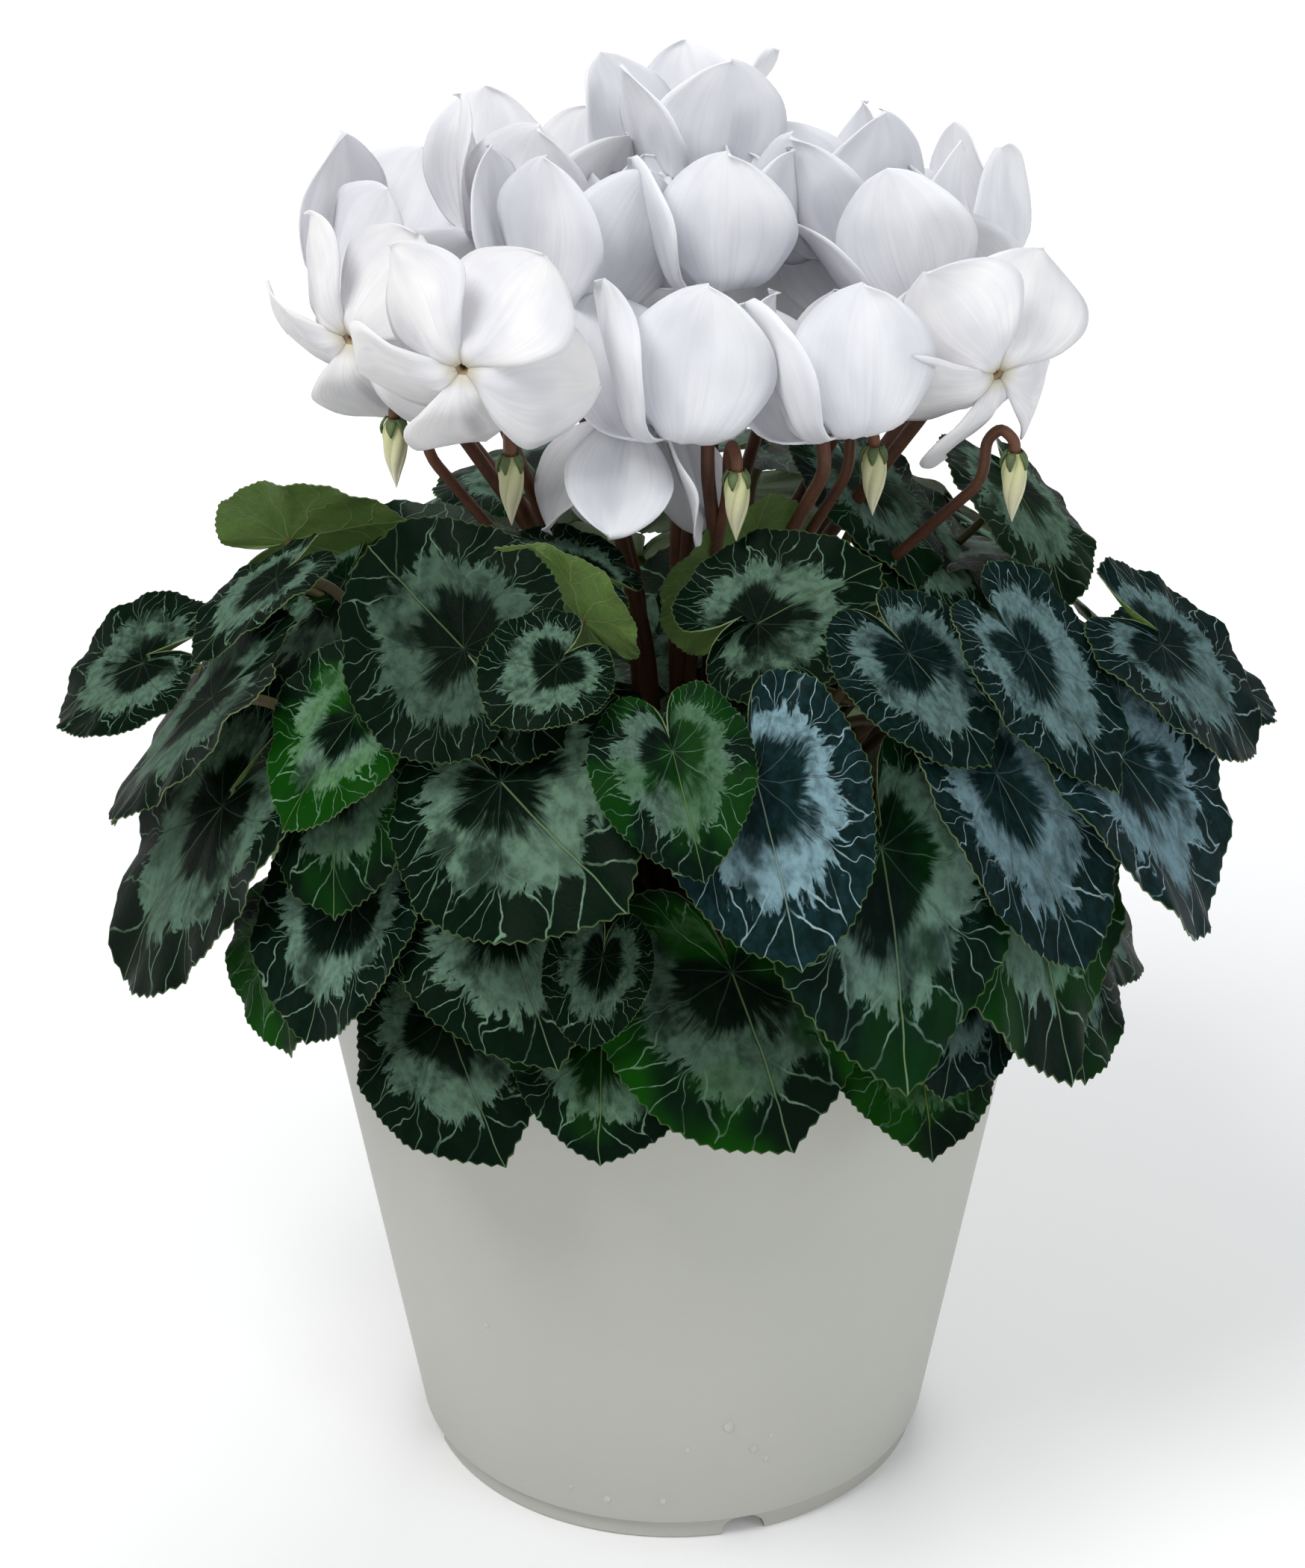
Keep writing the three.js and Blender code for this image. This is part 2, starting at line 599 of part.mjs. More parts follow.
function soilSolid() {
  const edge = (z) => wallRadius(z) - POT_WALL - SOIL_GAP;
  const profile = [
    [0, FLOOR_TOP + SOIL_GAP],
    [edge(FLOOR_TOP) - 1, FLOOR_TOP + SOIL_GAP],
    [edge(SOIL_HEIGHT), SOIL_HEIGHT],
    [TUBER_RADIUS + 14, SOIL_HEIGHT + 4],
    [TUBER_RADIUS + SOIL_GAP, SOIL_HEIGHT + 2],
    [TUBER_RADIUS + SOIL_GAP, SOIL_HEIGHT - TUBER_DEPTH - SOIL_GAP],
    [0, SOIL_HEIGHT - TUBER_DEPTH - SOIL_GAP],
  ];
  return solidOf(turned(profile, POT_SIDES));
}

/** The tuber stands in a plain round hole in the soil and shows only its crown. */
function tuberSolid() {
  const profile = [
    [0, SOIL_HEIGHT - TUBER_DEPTH],
    [TUBER_RADIUS - 6, SOIL_HEIGHT - TUBER_DEPTH],
    [TUBER_RADIUS, SOIL_HEIGHT - TUBER_DEPTH + 6],
    [TUBER_RADIUS, SOIL_HEIGHT + 6],
    [TUBER_RADIUS - 5, TUBER_TOP - 2],
    [TUBER_RADIUS - 8, TUBER_TOP],
    [0, TUBER_TOP],
  ];
  return solidOf(turned(profile, TUBER_SIDES));
}

const pot = potSolid();
const soil = soilSolid();

// Leaves. Each is moved until it clears the pot and the leaves under it.
const leaves = [];

function settleLeaf(leaf, towards) {
  const frame = leafFrame(leaf);
  const guard = solidOf(leafGeometry(leaf, frame, BLADE_THICKNESS + 2 * BLADE_CLEARANCE));
  frame.root.add(liftClear(guard, towards(frame), [pot, soil, ...leaves.map((other) => other.solid)]));
  const settled = { frame, solid: solidOf(leafGeometry(leaf, frame, BLADE_THICKNESS)) };
  leaves.push(settled);
  return settled;
}

const front = frontLeaves().map((leaf) => settleLeaf(leaf, (frame) => (
  Math.abs(leaf.root[0]) > FRONT_TURN ? frame.normal : EYE.clone().sub(frame.root).normalize()
)));
const rows = leafBunches();
const bunches = rows.map(() => []);
for (let level = 0; level <= BUNCH_LEAVES.length; level += 1) {
  rows.forEach((row, i) => {
    if (row[level]) bunches[i].push(settleLeaf(row[level], (frame) => frame.normal));
  });
}

// Blooms. Each turns and moves a little until it is clear of its neighbours, or else grows into them.
const heads = [];

function settleBloom(own) {
  const bloom = { ...BLOOM, ...own };
  const frame = bloomFrame(bloom);
  const out = frame.at.clone().setZ(0).normalize();
  const across = UP.clone().cross(out);
  const ways = BLOOM_WAYS.map(([outward, sideways, up]) => (
    out.clone().multiplyScalar(outward).addScaledVector(across, sideways).addScaledVector(UP, up).normalize()
  ));
  const others = [...leaves, ...heads].map((piece) => piece.solid);
  const turns = BLOOM_SPINS.map((spin) => {
    const spun = { ...bloom, spin: bloom.spin + spin };
    return { spun, guard: bloomSolid(spun, frame, PETAL_THICKNESS + BLADE_CLEARANCE) };
  });
  for (let distance = 0; distance <= BLOOM_REACH; distance += BLOOM_STEP) {
    for (const way of ways) {
      const shift = way.clone().multiplyScalar(distance);
      for (const { spun, guard } of turns) {
        const moved = guard.translate([shift.x, shift.y, shift.z]);
        if (!others.some((other) => meets(moved, other))) {
          frame.at.add(shift);
          return { bloom: spun, frame, solid: bloomSolid(spun, frame, PETAL_THICKNESS) };
        }
      }
    }
  }
  return { bloom, frame, solid: bloomSolid(bloom, frame, PETAL_THICKNESS) };
}

BLOOMS.forEach((own) => heads.push(settleBloom(own)));

// Stems
const tuber = tuberSolid();
const crown = [tuber];
const onTuber = (turn, out) => outwards(turn).multiplyScalar(out).setZ(TUBER_TOP - STEM_SUNK);
const turnOf = (p) => THREE.MathUtils.radToDeg(Math.atan2(p.x, -p.y));

/** The first of the routes whose stem clears everything, or else the one that meets the least. */
function clearRoute(routes, radius, others, own) {
  let best = null;
  for (const points of routes) {
    const guard = stem(points, radius + STEM_CLEARANCE);
    let hits = others.filter((other) => meets(guard, other)).length;
    if (own && meets(stem(points, radius), own)) hits += OWN_BLADE_HITS;
    if (!best || hits < best.hits) best = { hits, points, guard };
    if (hits === 0) break;
  }
  return { ...best, solid: stem(best.points, radius) };
}

/** Opens a hole for a stem in each blade and petal that it can't be led round. */
function openHoles(guard, pieces) {
  for (const piece of pieces) {
    if (meets(guard, piece.solid)) piece.solid = oneBody(piece.solid.subtract(guard));
  }
}

/** Ways for a leaf's stem to come up from the tuber and in under the blade, or into it if `sunk`. */
function leafRoutes(frame, start, sunk) {
  const routes = [];
  for (const under of LEAF_STEM_WAYS.under) {
    const slant = Math.sin(radians(under));
    const approach = frame.normal.clone().multiplyScalar(-Math.cos(radians(under)))
      .addScaledVector(frame.midrib, -slant);
    const gap = sunk ? STEM_IN_BLADE : BLADE_THICKNESS / 2 + SEAT_GAP + LEAF_STEM_RADIUS * slant;
    const end = frame.root.clone().addScaledVector(approach, gap);
    for (const reach of LEAF_STEM_WAYS.reach) {
      const neck = frame.root.clone().addScaledVector(approach, gap + reach);
      const across = UP.clone().cross(neck).normalize();
      for (const rise of LEAF_STEM_WAYS.rise) {
        for (const swing of LEAF_STEM_WAYS.swing) {
          const middle = start.clone().lerp(neck, 0.5).setZ(start.z + (neck.z - start.z) * rise)
            .addScaledVector(across, swing);
          middle.z = Math.max(middle.z, start.z + LEAF_STEM_WAYS.leastRise);
          routes.push([start, middle, neck, end]);
        }
      }
    }
  }
  return routes;
}

// The leaves of a bunch stand on one knuckle, which sits on the tuber
const bunchStems = rows.map((row, i) => {
  const foot = outwards(bunchTurn(i)).multiplyScalar(KNUCKLE_OUT).setZ(TUBER_TOP + SEAT_GAP);
  const profile = [[0, 0], [KNUCKLE_RADIUS, 0], [KNUCKLE_RADIUS, KNUCKLE_HEIGHT], [0, KNUCKLE_HEIGHT]];
  return { foot, solids: [solidOf(turned(profile, KNUCKLE_SIDES).translate(foot.x, foot.y, foot.z))] };
});
bunches.forEach((bunch, i) => {
  const { foot, solids } = bunchStems[i];
  bunch.forEach((leaf, j) => {
    const start = outwards(turnOf(leaf.frame.root) + 90 * j - 45).multiplyScalar(KNUCKLE_SPREAD)
      .add(foot).addScaledVector(UP, STEM_SUNK);
    const rest = [...leaves.filter((other) => !bunch.includes(other)), ...heads];
    const stems = bunchStems.filter((other) => other.foot !== foot).flatMap((other) => other.solids);
    const others = [pot, soil, tuber, ...stems, ...rest.map((piece) => piece.solid)];
    const { guard, solid } = clearRoute(leafRoutes(leaf.frame, start, true), LEAF_STEM_RADIUS, others, null);
    openHoles(guard, rest);
    solids.push(solid);
  });
});
const standing = [pot, soil, ...bunchStems.flatMap((stems) => stems.solids)];

front.forEach((leaf, i) => {
  const { frame } = leaf;
  const start = onTuber(turnOf(frame.root) * LEAF_STEM_TURN, LEAF_STEM_RINGS[i % LEAF_STEM_RINGS.length]);
  const rest = [...leaves.filter((other) => other !== leaf), ...heads];
  const others = [...standing, ...rest.map((piece) => piece.solid)];
  const { guard, solid } = clearRoute(leafRoutes(frame, start, false), LEAF_STEM_RADIUS, others, leaf.solid);
  openHoles(guard, rest);
  crown.push(solid);
});

/** The hooked ends a flower's stem may have, each from the cup behind the tube back to the neck. */
function flowerHooks(bloom, frame) {
  const seat = FLOWER_TUBE + SEAT_GAP;
  if (bloom.nod < UPRIGHT_NOD) {
    return LEVEL_HOOK.drops.map((drop) => LEVEL_HOOK.points.map(([back, down]) => (
      frame.at.clone().addScaledVector(frame.back, seat + back).addScaledVector(UP, -down * drop)
    )));
  }
  const inwards = frame.at.clone().setZ(0).negate().normalize();
  const gaps = Array.from({ length: PETALS }, (_, k) => {
    const turn = radians(bloom.spin + (360 * (k + 0.5)) / PETALS);
    return frame.side.clone().multiplyScalar(Math.cos(turn)).addScaledVector(frame.other, Math.sin(turn));
  });
  gaps.sort((p, q) => q.dot(inwards) - p.dot(inwards));
  return gaps.map((gap) => NODDING_HOOK.map(([out, back]) => (
    frame.at.clone().addScaledVector(gap, out).addScaledVector(frame.back, seat + back)
  )));
}

/** Ways for a flower's or bud's stem to come up from the tuber and into one of its hooks. */
function hookedRoutes(hooks, start) {
  const routes = [];
  for (const hook of hooks) {
    const neck = hook[hook.length - 1];
    const across = UP.clone().cross(neck).normalize();
    for (const waist of FLOWER_STEM_WAYS.waist) {
      for (const swing of FLOWER_STEM_WAYS.swing) {
        const middle = neck.clone().multiplyScalar(waist)
          .setZ(start.z + (neck.z - start.z) * FLOWER_STEM_WAYS.rise)
          .addScaledVector(across, swing);
        const foot = start.clone().addScaledVector(UP, FLOWER_STEM_WAYS.foot);
        routes.push([start, foot, middle, ...hook.slice().reverse()]);
      }
    }
  }
  return routes;
}

heads.forEach((head) => {
  const { bloom, frame } = head;
  const out = Math.hypot(frame.at.x, frame.at.y);
  const start = onTuber(turnOf(frame.at), out * FLOWER_STEM_OUT.share + FLOWER_STEM_OUT.least);
  const rest = [...leaves, ...heads.filter((other) => other !== head)];
  const others = [...standing, ...rest.map((piece) => piece.solid)];
  const routes = hookedRoutes(flowerHooks(bloom, frame), start);
  const { solid, guard } = clearRoute(routes, FLOWER_STEM_RADIUS, others, null);
  openHoles(guard, [...leaves, ...heads]);
  crown.push(solid);
});

/** A bud that hangs from the hook of its stem, its tip down. `at` is its middle. */
function budSolid(at, radius) {
  const half = BUD_LENGTH / 2;
  const profile = [
    [0, -half], [0.7 * radius, -0.4 * half], [radius, 0.25 * half], [0.6 * radius, half], [0, half],
  ];
  return solidOf(turned(profile, BUD_SIDES).translate(at.x, at.y, at.z));
}

function budHooks(at) {
  const top = at.clone().addScaledVector(UP, BUD_LENGTH / 2 - 1);
  return BUD_HOOK.turns.map((turn) => {
    const inwards = at.clone().setZ(0).negate().normalize().applyAxisAngle(UP, radians(turn));
    return BUD_HOOK.points.map(([run, rise]) => (
      top.clone().addScaledVector(inwards, run).addScaledVector(UP, rise)
    ));
  });
}

/** Places for a bud round the one that is wished for, the nearest first. */
function budPlaces(wish) {
  const out = wish.clone().setZ(0).normalize();
  return BUD_PLACES.rise.flatMap((rise) => BUD_PLACES.run.map((run) => (
    wish.clone().addScaledVector(UP, rise).addScaledVector(out, run)
  )));
}

BUDS.forEach((own) => {
  const pieces = [...leaves, ...heads];
  const others = [...standing, ...pieces.map((piece) => piece.solid)];
  let best = null;
  for (const at of budPlaces(place(own))) {
    if (best && best.hits === 0) break;
    const room = budSolid(at, BUD_RADIUS + STEM_CLEARANCE);
    if (others.some((other) => meets(room, other))) continue;
    const start = onTuber(turnOf(at) + BUD_STEM_TURN, BUD_STEM_OUT);
    const found = clearRoute(hookedRoutes(budHooks(at), start), BUD_STEM_RADIUS, others, null);
    if (!best || found.hits < best.hits) best = { ...found, bud: budSolid(at, BUD_RADIUS) };
  }
  openHoles(best.guard, pieces);
  crown.push(best.bud, best.solid);
});

addPiece('pot', pot, colours.pot);
addPiece('soil', soil, colours.soil);
addPiece('tuber_and_stems', wasm.Manifold.union(crown), colours.stem);
front.forEach(({ solid }, i) => addPiece(`leaf_${String(i + 1).padStart(2, '0')}`, solid, colours.leaf));
bunches.forEach((bunch, i) => {
  const solids = [...bunchStems[i].solids, ...bunch.map((leaf) => leaf.solid)];
  addPiece(`leaf_bunch_${i + 1}`, wasm.Manifold.union(solids), colours.leaf);
});

// Blooms that grow into each other are one piece
const clusters = [];
heads.forEach((head) => {
  const touched = clusters.filter((cluster) => cluster.some((other) => meets(head.solid, other.solid)));
  touched.forEach((cluster) => clusters.splice(clusters.indexOf(cluster), 1));
  clusters.push([...touched.flat(), head]);
});
clusters.forEach((cluster, i) => {
  const solid = wasm.Manifold.union(cluster.map((head) => head.solid));
  addPiece(`bloom_${String(i + 1).padStart(2, '0')}`, solid, colours.petal);
});

export default plant;
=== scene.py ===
"""The potted cyclamen, dressed for its photograph.

Shapes are worked out in millimetres in the CAD's frame: +Z up, -Y to the front, the origin on the
ground under the pot's axis. Places on the plant are polar: [turn, out, up] is degrees from the
front (positive to +X), distance from the pot's axis and height. Each fine piece repeats the form
of the CAD node that it replaces, and its exact place is found from that node's own corners.
"""

import math

import bpy
import numpy as np
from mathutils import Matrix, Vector
from mathutils.kdtree import KDTree


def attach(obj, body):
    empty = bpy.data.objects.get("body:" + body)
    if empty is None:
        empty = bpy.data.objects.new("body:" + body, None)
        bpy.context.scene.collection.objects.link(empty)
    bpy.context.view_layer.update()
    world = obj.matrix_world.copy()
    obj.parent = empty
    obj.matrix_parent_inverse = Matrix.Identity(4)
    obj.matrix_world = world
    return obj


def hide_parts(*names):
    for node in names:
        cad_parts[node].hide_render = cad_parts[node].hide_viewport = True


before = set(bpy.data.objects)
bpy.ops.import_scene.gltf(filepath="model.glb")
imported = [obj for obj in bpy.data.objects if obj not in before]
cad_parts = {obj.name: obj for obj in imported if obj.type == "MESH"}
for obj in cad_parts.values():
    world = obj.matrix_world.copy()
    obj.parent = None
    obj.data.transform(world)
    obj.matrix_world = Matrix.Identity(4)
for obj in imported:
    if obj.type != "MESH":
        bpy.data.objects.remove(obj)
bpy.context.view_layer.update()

MM = 0.001
UP = np.array([0.0, 0.0, 1.0])

# The photograph's camera, worked out from the pot's outline
EYE = np.array([0.0, -856.0, 600.0])
CAMERA_DOWN = 24.8
CAMERA_LENS = 77.04
CAMERA_SHIFT = -0.0129

# Half the side of the floor in metres, and the light of its own that it has: from and to what
# distance in metres, and from and to what strength
FLOOR_REACH = 30
FLOOR_GLOW = [0.3, 2.0, 0.08, 0.56]

# Pot, soil and tuber
POT_HEIGHT = 180
RIM_RADIUS = 105
FOOT_RADIUS = 74.5
POT_WALL = 2.2
FOOT_HEIGHT = 7
FOOT_STEP = 1.2
FOOT_RING = 6
LIP_WIDTH = 3.5
LIP_HEIGHT = 9
FLOOR_THICKNESS = 2.5
FLOOR_TOP = FOOT_HEIGHT + FLOOR_THICKNESS
POT_SIDES = 192
POT_SHARP = 28
NOTCH_COUNT = 4
NOTCH_TURN = 16
NOTCH_WIDTH = 13
NOTCH_STEPS = 25
DRAIN_RADIUS = 6
DRAIN_SIDES = 40
DRAIN_OUT = 48
SOIL_HEIGHT = 160
SOIL_GAP = 1.2
SOIL_SIDES = 150
TUBER_RADIUS = 31
TUBER_TOP = 176
TUBER_DEPTH = 16
TUBER_SIDES = 96

# Leaves
BLADE_THICKNESS = 0.8
FINE_BLADE = 0.5
TOOTH = 0.022
LOPSIDED = 0.05
MIDDLE_RING = 0.52
LIFT_STEP = 0.8
LIFT_STEPS = 50
FRONT_TURN = 58
LEAF_RINGS = [0.03, 0.1, 0.2, 0.3, 0.4, 0.5, 0.6, 0.7, 0.79, 0.87, 0.935, 0.975, 1.0]
LEAF_EDGE = 144
LEAF_SHARP = 50
FINE_TOOTH = 0.011
BLUNT = 0.06
VEINS = 10
LEAF_RELIEF = {"pucker": -0.005, "dents": 0.008, "ruffle": 0.018, "frill": 0.010}

# Stems
SEAT_GAP = 0.4
STEM_SIDES = 12
FLOWER_STEM_SIDES = 14
LEAF_STEM_SLOT = 3
LEAF_STEM_RADIUS = 1.5
FLOWER_STEM_RADIUS = 1.9
STEM_SUNK = 3
STEM_IN_BLADE = 0.2
KNUCKLE_OUT = 19
KNUCKLE_RADIUS = 4.3
KNUCKLE_HEIGHT = 7
KNUCKLE_SPREAD = 2.5
KNUCKLE_SIDES = 36
LEAF_STEM_RINGS = [21.5, 17.5, 13.5]
LEAF_STEM_TURN = 0.95
FLOWER_STEM_OUT = {"share": 0.11, "least": 1}
LEAF_STEM_WAYS = {
    "under": [50, 30, 70, 15, 88, 100],
    "reach": [12, 20, 8, 32, 45],
    "rise": [0.55, 0.8, 0.3, 1],
    "swing": [0, 14, -14, 28, -28],
    "least_rise": 8,
}
FLOWER_STEM_WAYS = {"waist": [0.35, 0.5, 0.2], "rise": 0.55, "swing": [0, 12, -12, 24, -24], "foot": 10}
NODDING_HOOK = [[0, 0], [0.4, 4.5], [4.5, 8.5], [9.5, 4.5], [10.5, -5], [11, -15]]
LEVEL_HOOK = {"drops": [8, 14, 4], "points": [[0, 0], [6, 0], [13, 0.4], [19, 1.6], [23, 3]]}

# Blooms and buds
PETALS = 5
FLOWER_TUBE = 8
FLOWER_TUBE_SIDES = 30
MOUTH_RADIUS = 4.4
PETAL_ROOT = 3.4
PETAL_THICKNESS = 0.8
FINE_PETAL = 0.45
PETAL_START = -0.06
PETAL_STEPS = 26
PETAL_COLUMNS = 13
PETAL_RELIEF = {"fold": -0.9, "wave": 2.0, "frill": 0.7, "curl": 2.2, "streak": 0.07}
PETAL_ROWS = [0, 0.3, 0.7]
BLOOM_REACH = 12
BLOOM_STEP = 1.5
BLOOM_SPINS = [0, 12, 24, 36, 48, 60]
BLOOM_WAYS = [[1, 0, 0.3], [0.5, 1, 0], [0.5, -1, 0], [0.6, 0, -1], [0.1, 0, 1]]
UPRIGHT_NOD = 30
BUD_LENGTH = 16
BUD_POINT = 2.5
BUD_RADIUS = 3.3
BUD_STEM_RADIUS = 1.5
BUD_STEM_OUT = 9
BUD_STEM_TURN = 12
BUD_PLACES = {"rise": [0, 4, -4, 8, -8], "run": [0, -5, 5, -10, 10]}
BUD_HOOK = {"turns": [0, 40, -40, 80, -80, 180], "points": [[0, 0], [0, 4], [4, 7], [8, 3], [8.5, -8]]}

# How near a corner of the CAD must be to count as found
FOUND = 0.06


def draws(seed):
    """A seeded draw: the same numbers every time, from 0 to 1."""
    state = [seed & 0xFFFFFFFF]

    def draw():
        state[0] = (state[0] + 0x6D2B79F5) & 0xFFFFFFFF
        t = state[0]
        t = ((t ^ (t >> 15)) * (t | 1)) & 0xFFFFFFFF
        t = (t ^ ((t + (((t ^ (t >> 7)) * (t | 61)) & 0xFFFFFFFF)) & 0xFFFFFFFF)) & 0xFFFFFFFF
        return ((t ^ (t >> 14)) & 0xFFFFFFFF) / 4294967296

    return draw


def unit(v):
    return v / np.linalg.norm(v)


def outwards(turn):
    a = math.radians(turn)
    return np.array([math.sin(a), -math.cos(a), 0.0])


def place(polar):
    turn, out, up = polar
    return outwards(turn) * out + UP * up


def turn_of(point):
    return math.degrees(math.atan2(point[0], -point[1]))


def smooth(t):
    x = np.clip(t, 0, 1)
    return x * x * (3 - 2 * x)


def along(points, at):
    """Reads a smooth line through [at, value] points."""
    xs = np.array([p[0] for p in points], float)
    ys = np.array([p[1] for p in points], float)
    at = np.asarray(at, float)
    last = len(points) - 1
    k = np.clip(np.searchsorted(xs, at, side="left") - 1, 0, last - 1)
    before = np.maximum(k - 1, 0)
    after = np.minimum(k + 2, last)
    slope0 = (ys[k + 1] - ys[before]) / (xs[k + 1] - xs[before])
    slope1 = (ys[after] - ys[k]) / (xs[after] - xs[k])
    h = xs[k + 1] - xs[k]
    t = np.clip((at - xs[k]) / h, 0, 1)
    t2 = t * t
    t3 = t2 * t
    start = (2 * t3 - 3 * t2 + 1) * ys[k] + (t3 - 2 * t2 + t) * h * slope0
    return start + (3 * t2 - 2 * t3) * ys[k + 1] + (t3 - t2) * h * slope1


# Meshes


def vertex_normals(points, faces):
    """Area-weighted normals of a sheet of triangles and quads."""
    normals = np.zeros_like(points)
    for face in faces:
        a, b, c = face[:, 0], face[:, 1], face[:, 2]
        normal = np.cross(points[b] - points[a], points[c] - points[a])
        if face.shape[1] == 4:
            d = face[:, 3]
            normal = normal + np.cross(points[c] - points[a], points[d] - points[a])
        for k in range(face.shape[1]):
            np.add.at(normals, face[:, k], normal)
    length = np.linalg.norm(normals, axis=1, keepdims=True)
    return normals / np.maximum(length, 1e-12)


def rim_edges(faces, count):
    """The directed edges of a sheet that only one face has."""
    edges = []
    for face in faces:
        edges.append(np.stack([face, np.roll(face, -1, axis=1)], axis=2).reshape(-1, 2))
    edges = np.concatenate(edges)
    code = edges[:, 0] * count + edges[:, 1]
    back = edges[:, 1] * count + edges[:, 0]
    return edges[~np.isin(code, back)]


def thickened(points, faces, thickness, slots=(0, 1, 2)):
    """A sheet with its thickness: points, and faces with their slots for the top, the back and the rim."""
    normals = vertex_normals(points, faces)
    half = np.broadcast_to(np.asarray(thickness, float) / 2, len(points))[:, None]
    count = len(points)
    both = np.concatenate([points + normals * half, points - normals * half])
    rim = rim_edges(faces, count)
    walls = np.stack([rim[:, 1], rim[:, 0], rim[:, 0] + count, rim[:, 1] + count], axis=1)
    groups = [(face, slots[0]) for face in faces]
    groups += [(face[:, ::-1] + count, slots[1]) for face in faces]
    groups.append((walls, slots[2]))
    return both, groups


def grid_faces(rows, cols, closed=False, flip=False):
    """Quads between rows of points. The columns join up where `closed`."""
    r = np.arange(rows - 1)[:, None] * cols
    c = np.arange(cols if closed else cols - 1)[None, :]
    after = (c + 1) % cols
    quads = np.stack([r + c, r + after, r + cols + after, r + cols + c], axis=2).reshape(-1, 4)
    return quads[:, ::-1] if flip else quads


def fan_faces(centre, ring, cols, flip=False):
    """Triangles from one point to a closed ring of points."""
    c = np.arange(cols)
    fan = np.stack([np.full(cols, centre), ring + (c + 1) % cols, ring + c], axis=1)
    return fan[:, ::-1] if flip else fan


class Piece:
    """One object under construction: several bodies of faces, with their materials and coordinates."""

    def __init__(self, name):
        self.name = name
        self.points = []
        self.faces = []
        self.slots = []
        self.uvs = []
        self.facts = []
        self.count = 0

    def add(self, points, groups, uv=None, facts=None):
        """groups are (faces, slot); uv and facts are given by point."""
        total = len(points)
        self.points.append(points)
        self.uvs.append(np.zeros((total, 2)) if uv is None else uv)
        self.facts.append({k: np.broadcast_to(v, total) for k, v in (facts or {}).items()})
        for faces, slot in groups:
            self.faces.extend((faces + self.count).tolist())
            self.slots.extend([slot] * len(faces))
        self.count += total

    def body(self, points, faces, slot=0, uv=None):
        self.add(points, [(face, slot) for face in faces], uv)

    def build(self, materials, nodes, slot, sharp=None):
        """Puts the piece on the plant, for the CAD nodes that it stands for."""
        mesh = bpy.data.meshes.new(self.name)
        points = np.concatenate(self.points)
        mesh.from_pydata((points * MM).tolist(), [], self.faces)
        for material in materials:
            mesh.materials.append(material)
        mesh.polygons.foreach_set("material_index", np.array(self.slots, np.int32))
        uv = np.concatenate(self.uvs)
        corners = np.zeros(len(mesh.loops), np.int32)
        mesh.loops.foreach_get("vertex_index", corners)
        layer = mesh.uv_layers.new(name="own")
        layer.data.foreach_set("uv", uv[corners].astype(np.float32).ravel())
        for fact in sorted({key for facts in self.facts for key in facts}):
            parts = [f.get(fact, np.zeros(len(p))) for f, p in zip(self.facts, self.points)]
            attribute = mesh.attributes.new(fact, "FLOAT", "POINT")
            attribute.data.foreach_set("value", np.concatenate(parts).astype(np.float32))
        mesh.shade_smooth()
        mesh.update()
        if sharp is not None:
            mesh.set_sharp_from_angle(angle=math.radians(sharp))
        piece = bpy.data.objects.new(self.name, mesh)
        bpy.context.scene.collection.objects.link(piece)
        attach(piece, "root")
        if nodes:
            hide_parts(*nodes)
        return piece


def lathe(profile, sides):
    """Points and faces of a turned body. The profile of [radius, height] starts and ends on the axis."""
    rings = np.array(profile[1:-1], float)
    a = 2 * np.pi * np.arange(sides) / sides
    x = rings[:, 0:1] * np.sin(a)
    y = -rings[:, 0:1] * np.cos(a)
    z = np.broadcast_to(rings[:, 1:2], x.shape)
    points = np.stack([x, y, z], axis=2).reshape(-1, 3)
    ends = np.array([[0, 0, profile[0][1]], [0, 0, profile[-1][1]]], float)
    total = len(points)
    points = np.concatenate([points, ends])
    faces = [grid_faces(len(rings), sides, closed=True)]
    faces.append(fan_faces(total, 0, sides))
    faces.append(fan_faces(total + 1, (len(rings) - 1) * sides, sides, flip=True))
    return points, faces


def tube(path, radii, sides):
    """A round tube along points, with its turns kept small from one ring to the next."""
    path = np.asarray(path, float)
    ahead = np.gradient(path, axis=0)
    ahead /= np.linalg.norm(ahead, axis=1, keepdims=True)
    side = np.cross(ahead[0], UP if abs(ahead[0][2]) < 0.9 else np.array([1.0, 0, 0]))
    rings = []
    a = 2 * np.pi * np.arange(sides) / sides
    for at, direction, radius in zip(path, ahead, np.broadcast_to(radii, len(path))):
        side = unit(side - direction * np.dot(side, direction))
        other = np.cross(direction, side)
        rings.append(at + radius * (np.cos(a)[:, None] * side + np.sin(a)[:, None] * other))
    points = np.concatenate(rings + [path[:1], path[-1:]])
    total = len(path) * sides
    faces = [grid_faces(len(path), sides, closed=True)]
    faces.append(fan_faces(total, 0, sides))
    faces.append(fan_faces(total + 1, total - sides, sides, flip=True))
    share = np.concatenate([np.repeat(np.linspace(0, 1, len(path)), sides), [0, 1]])
    return points, faces, np.stack([share, np.zeros_like(share)], axis=1)


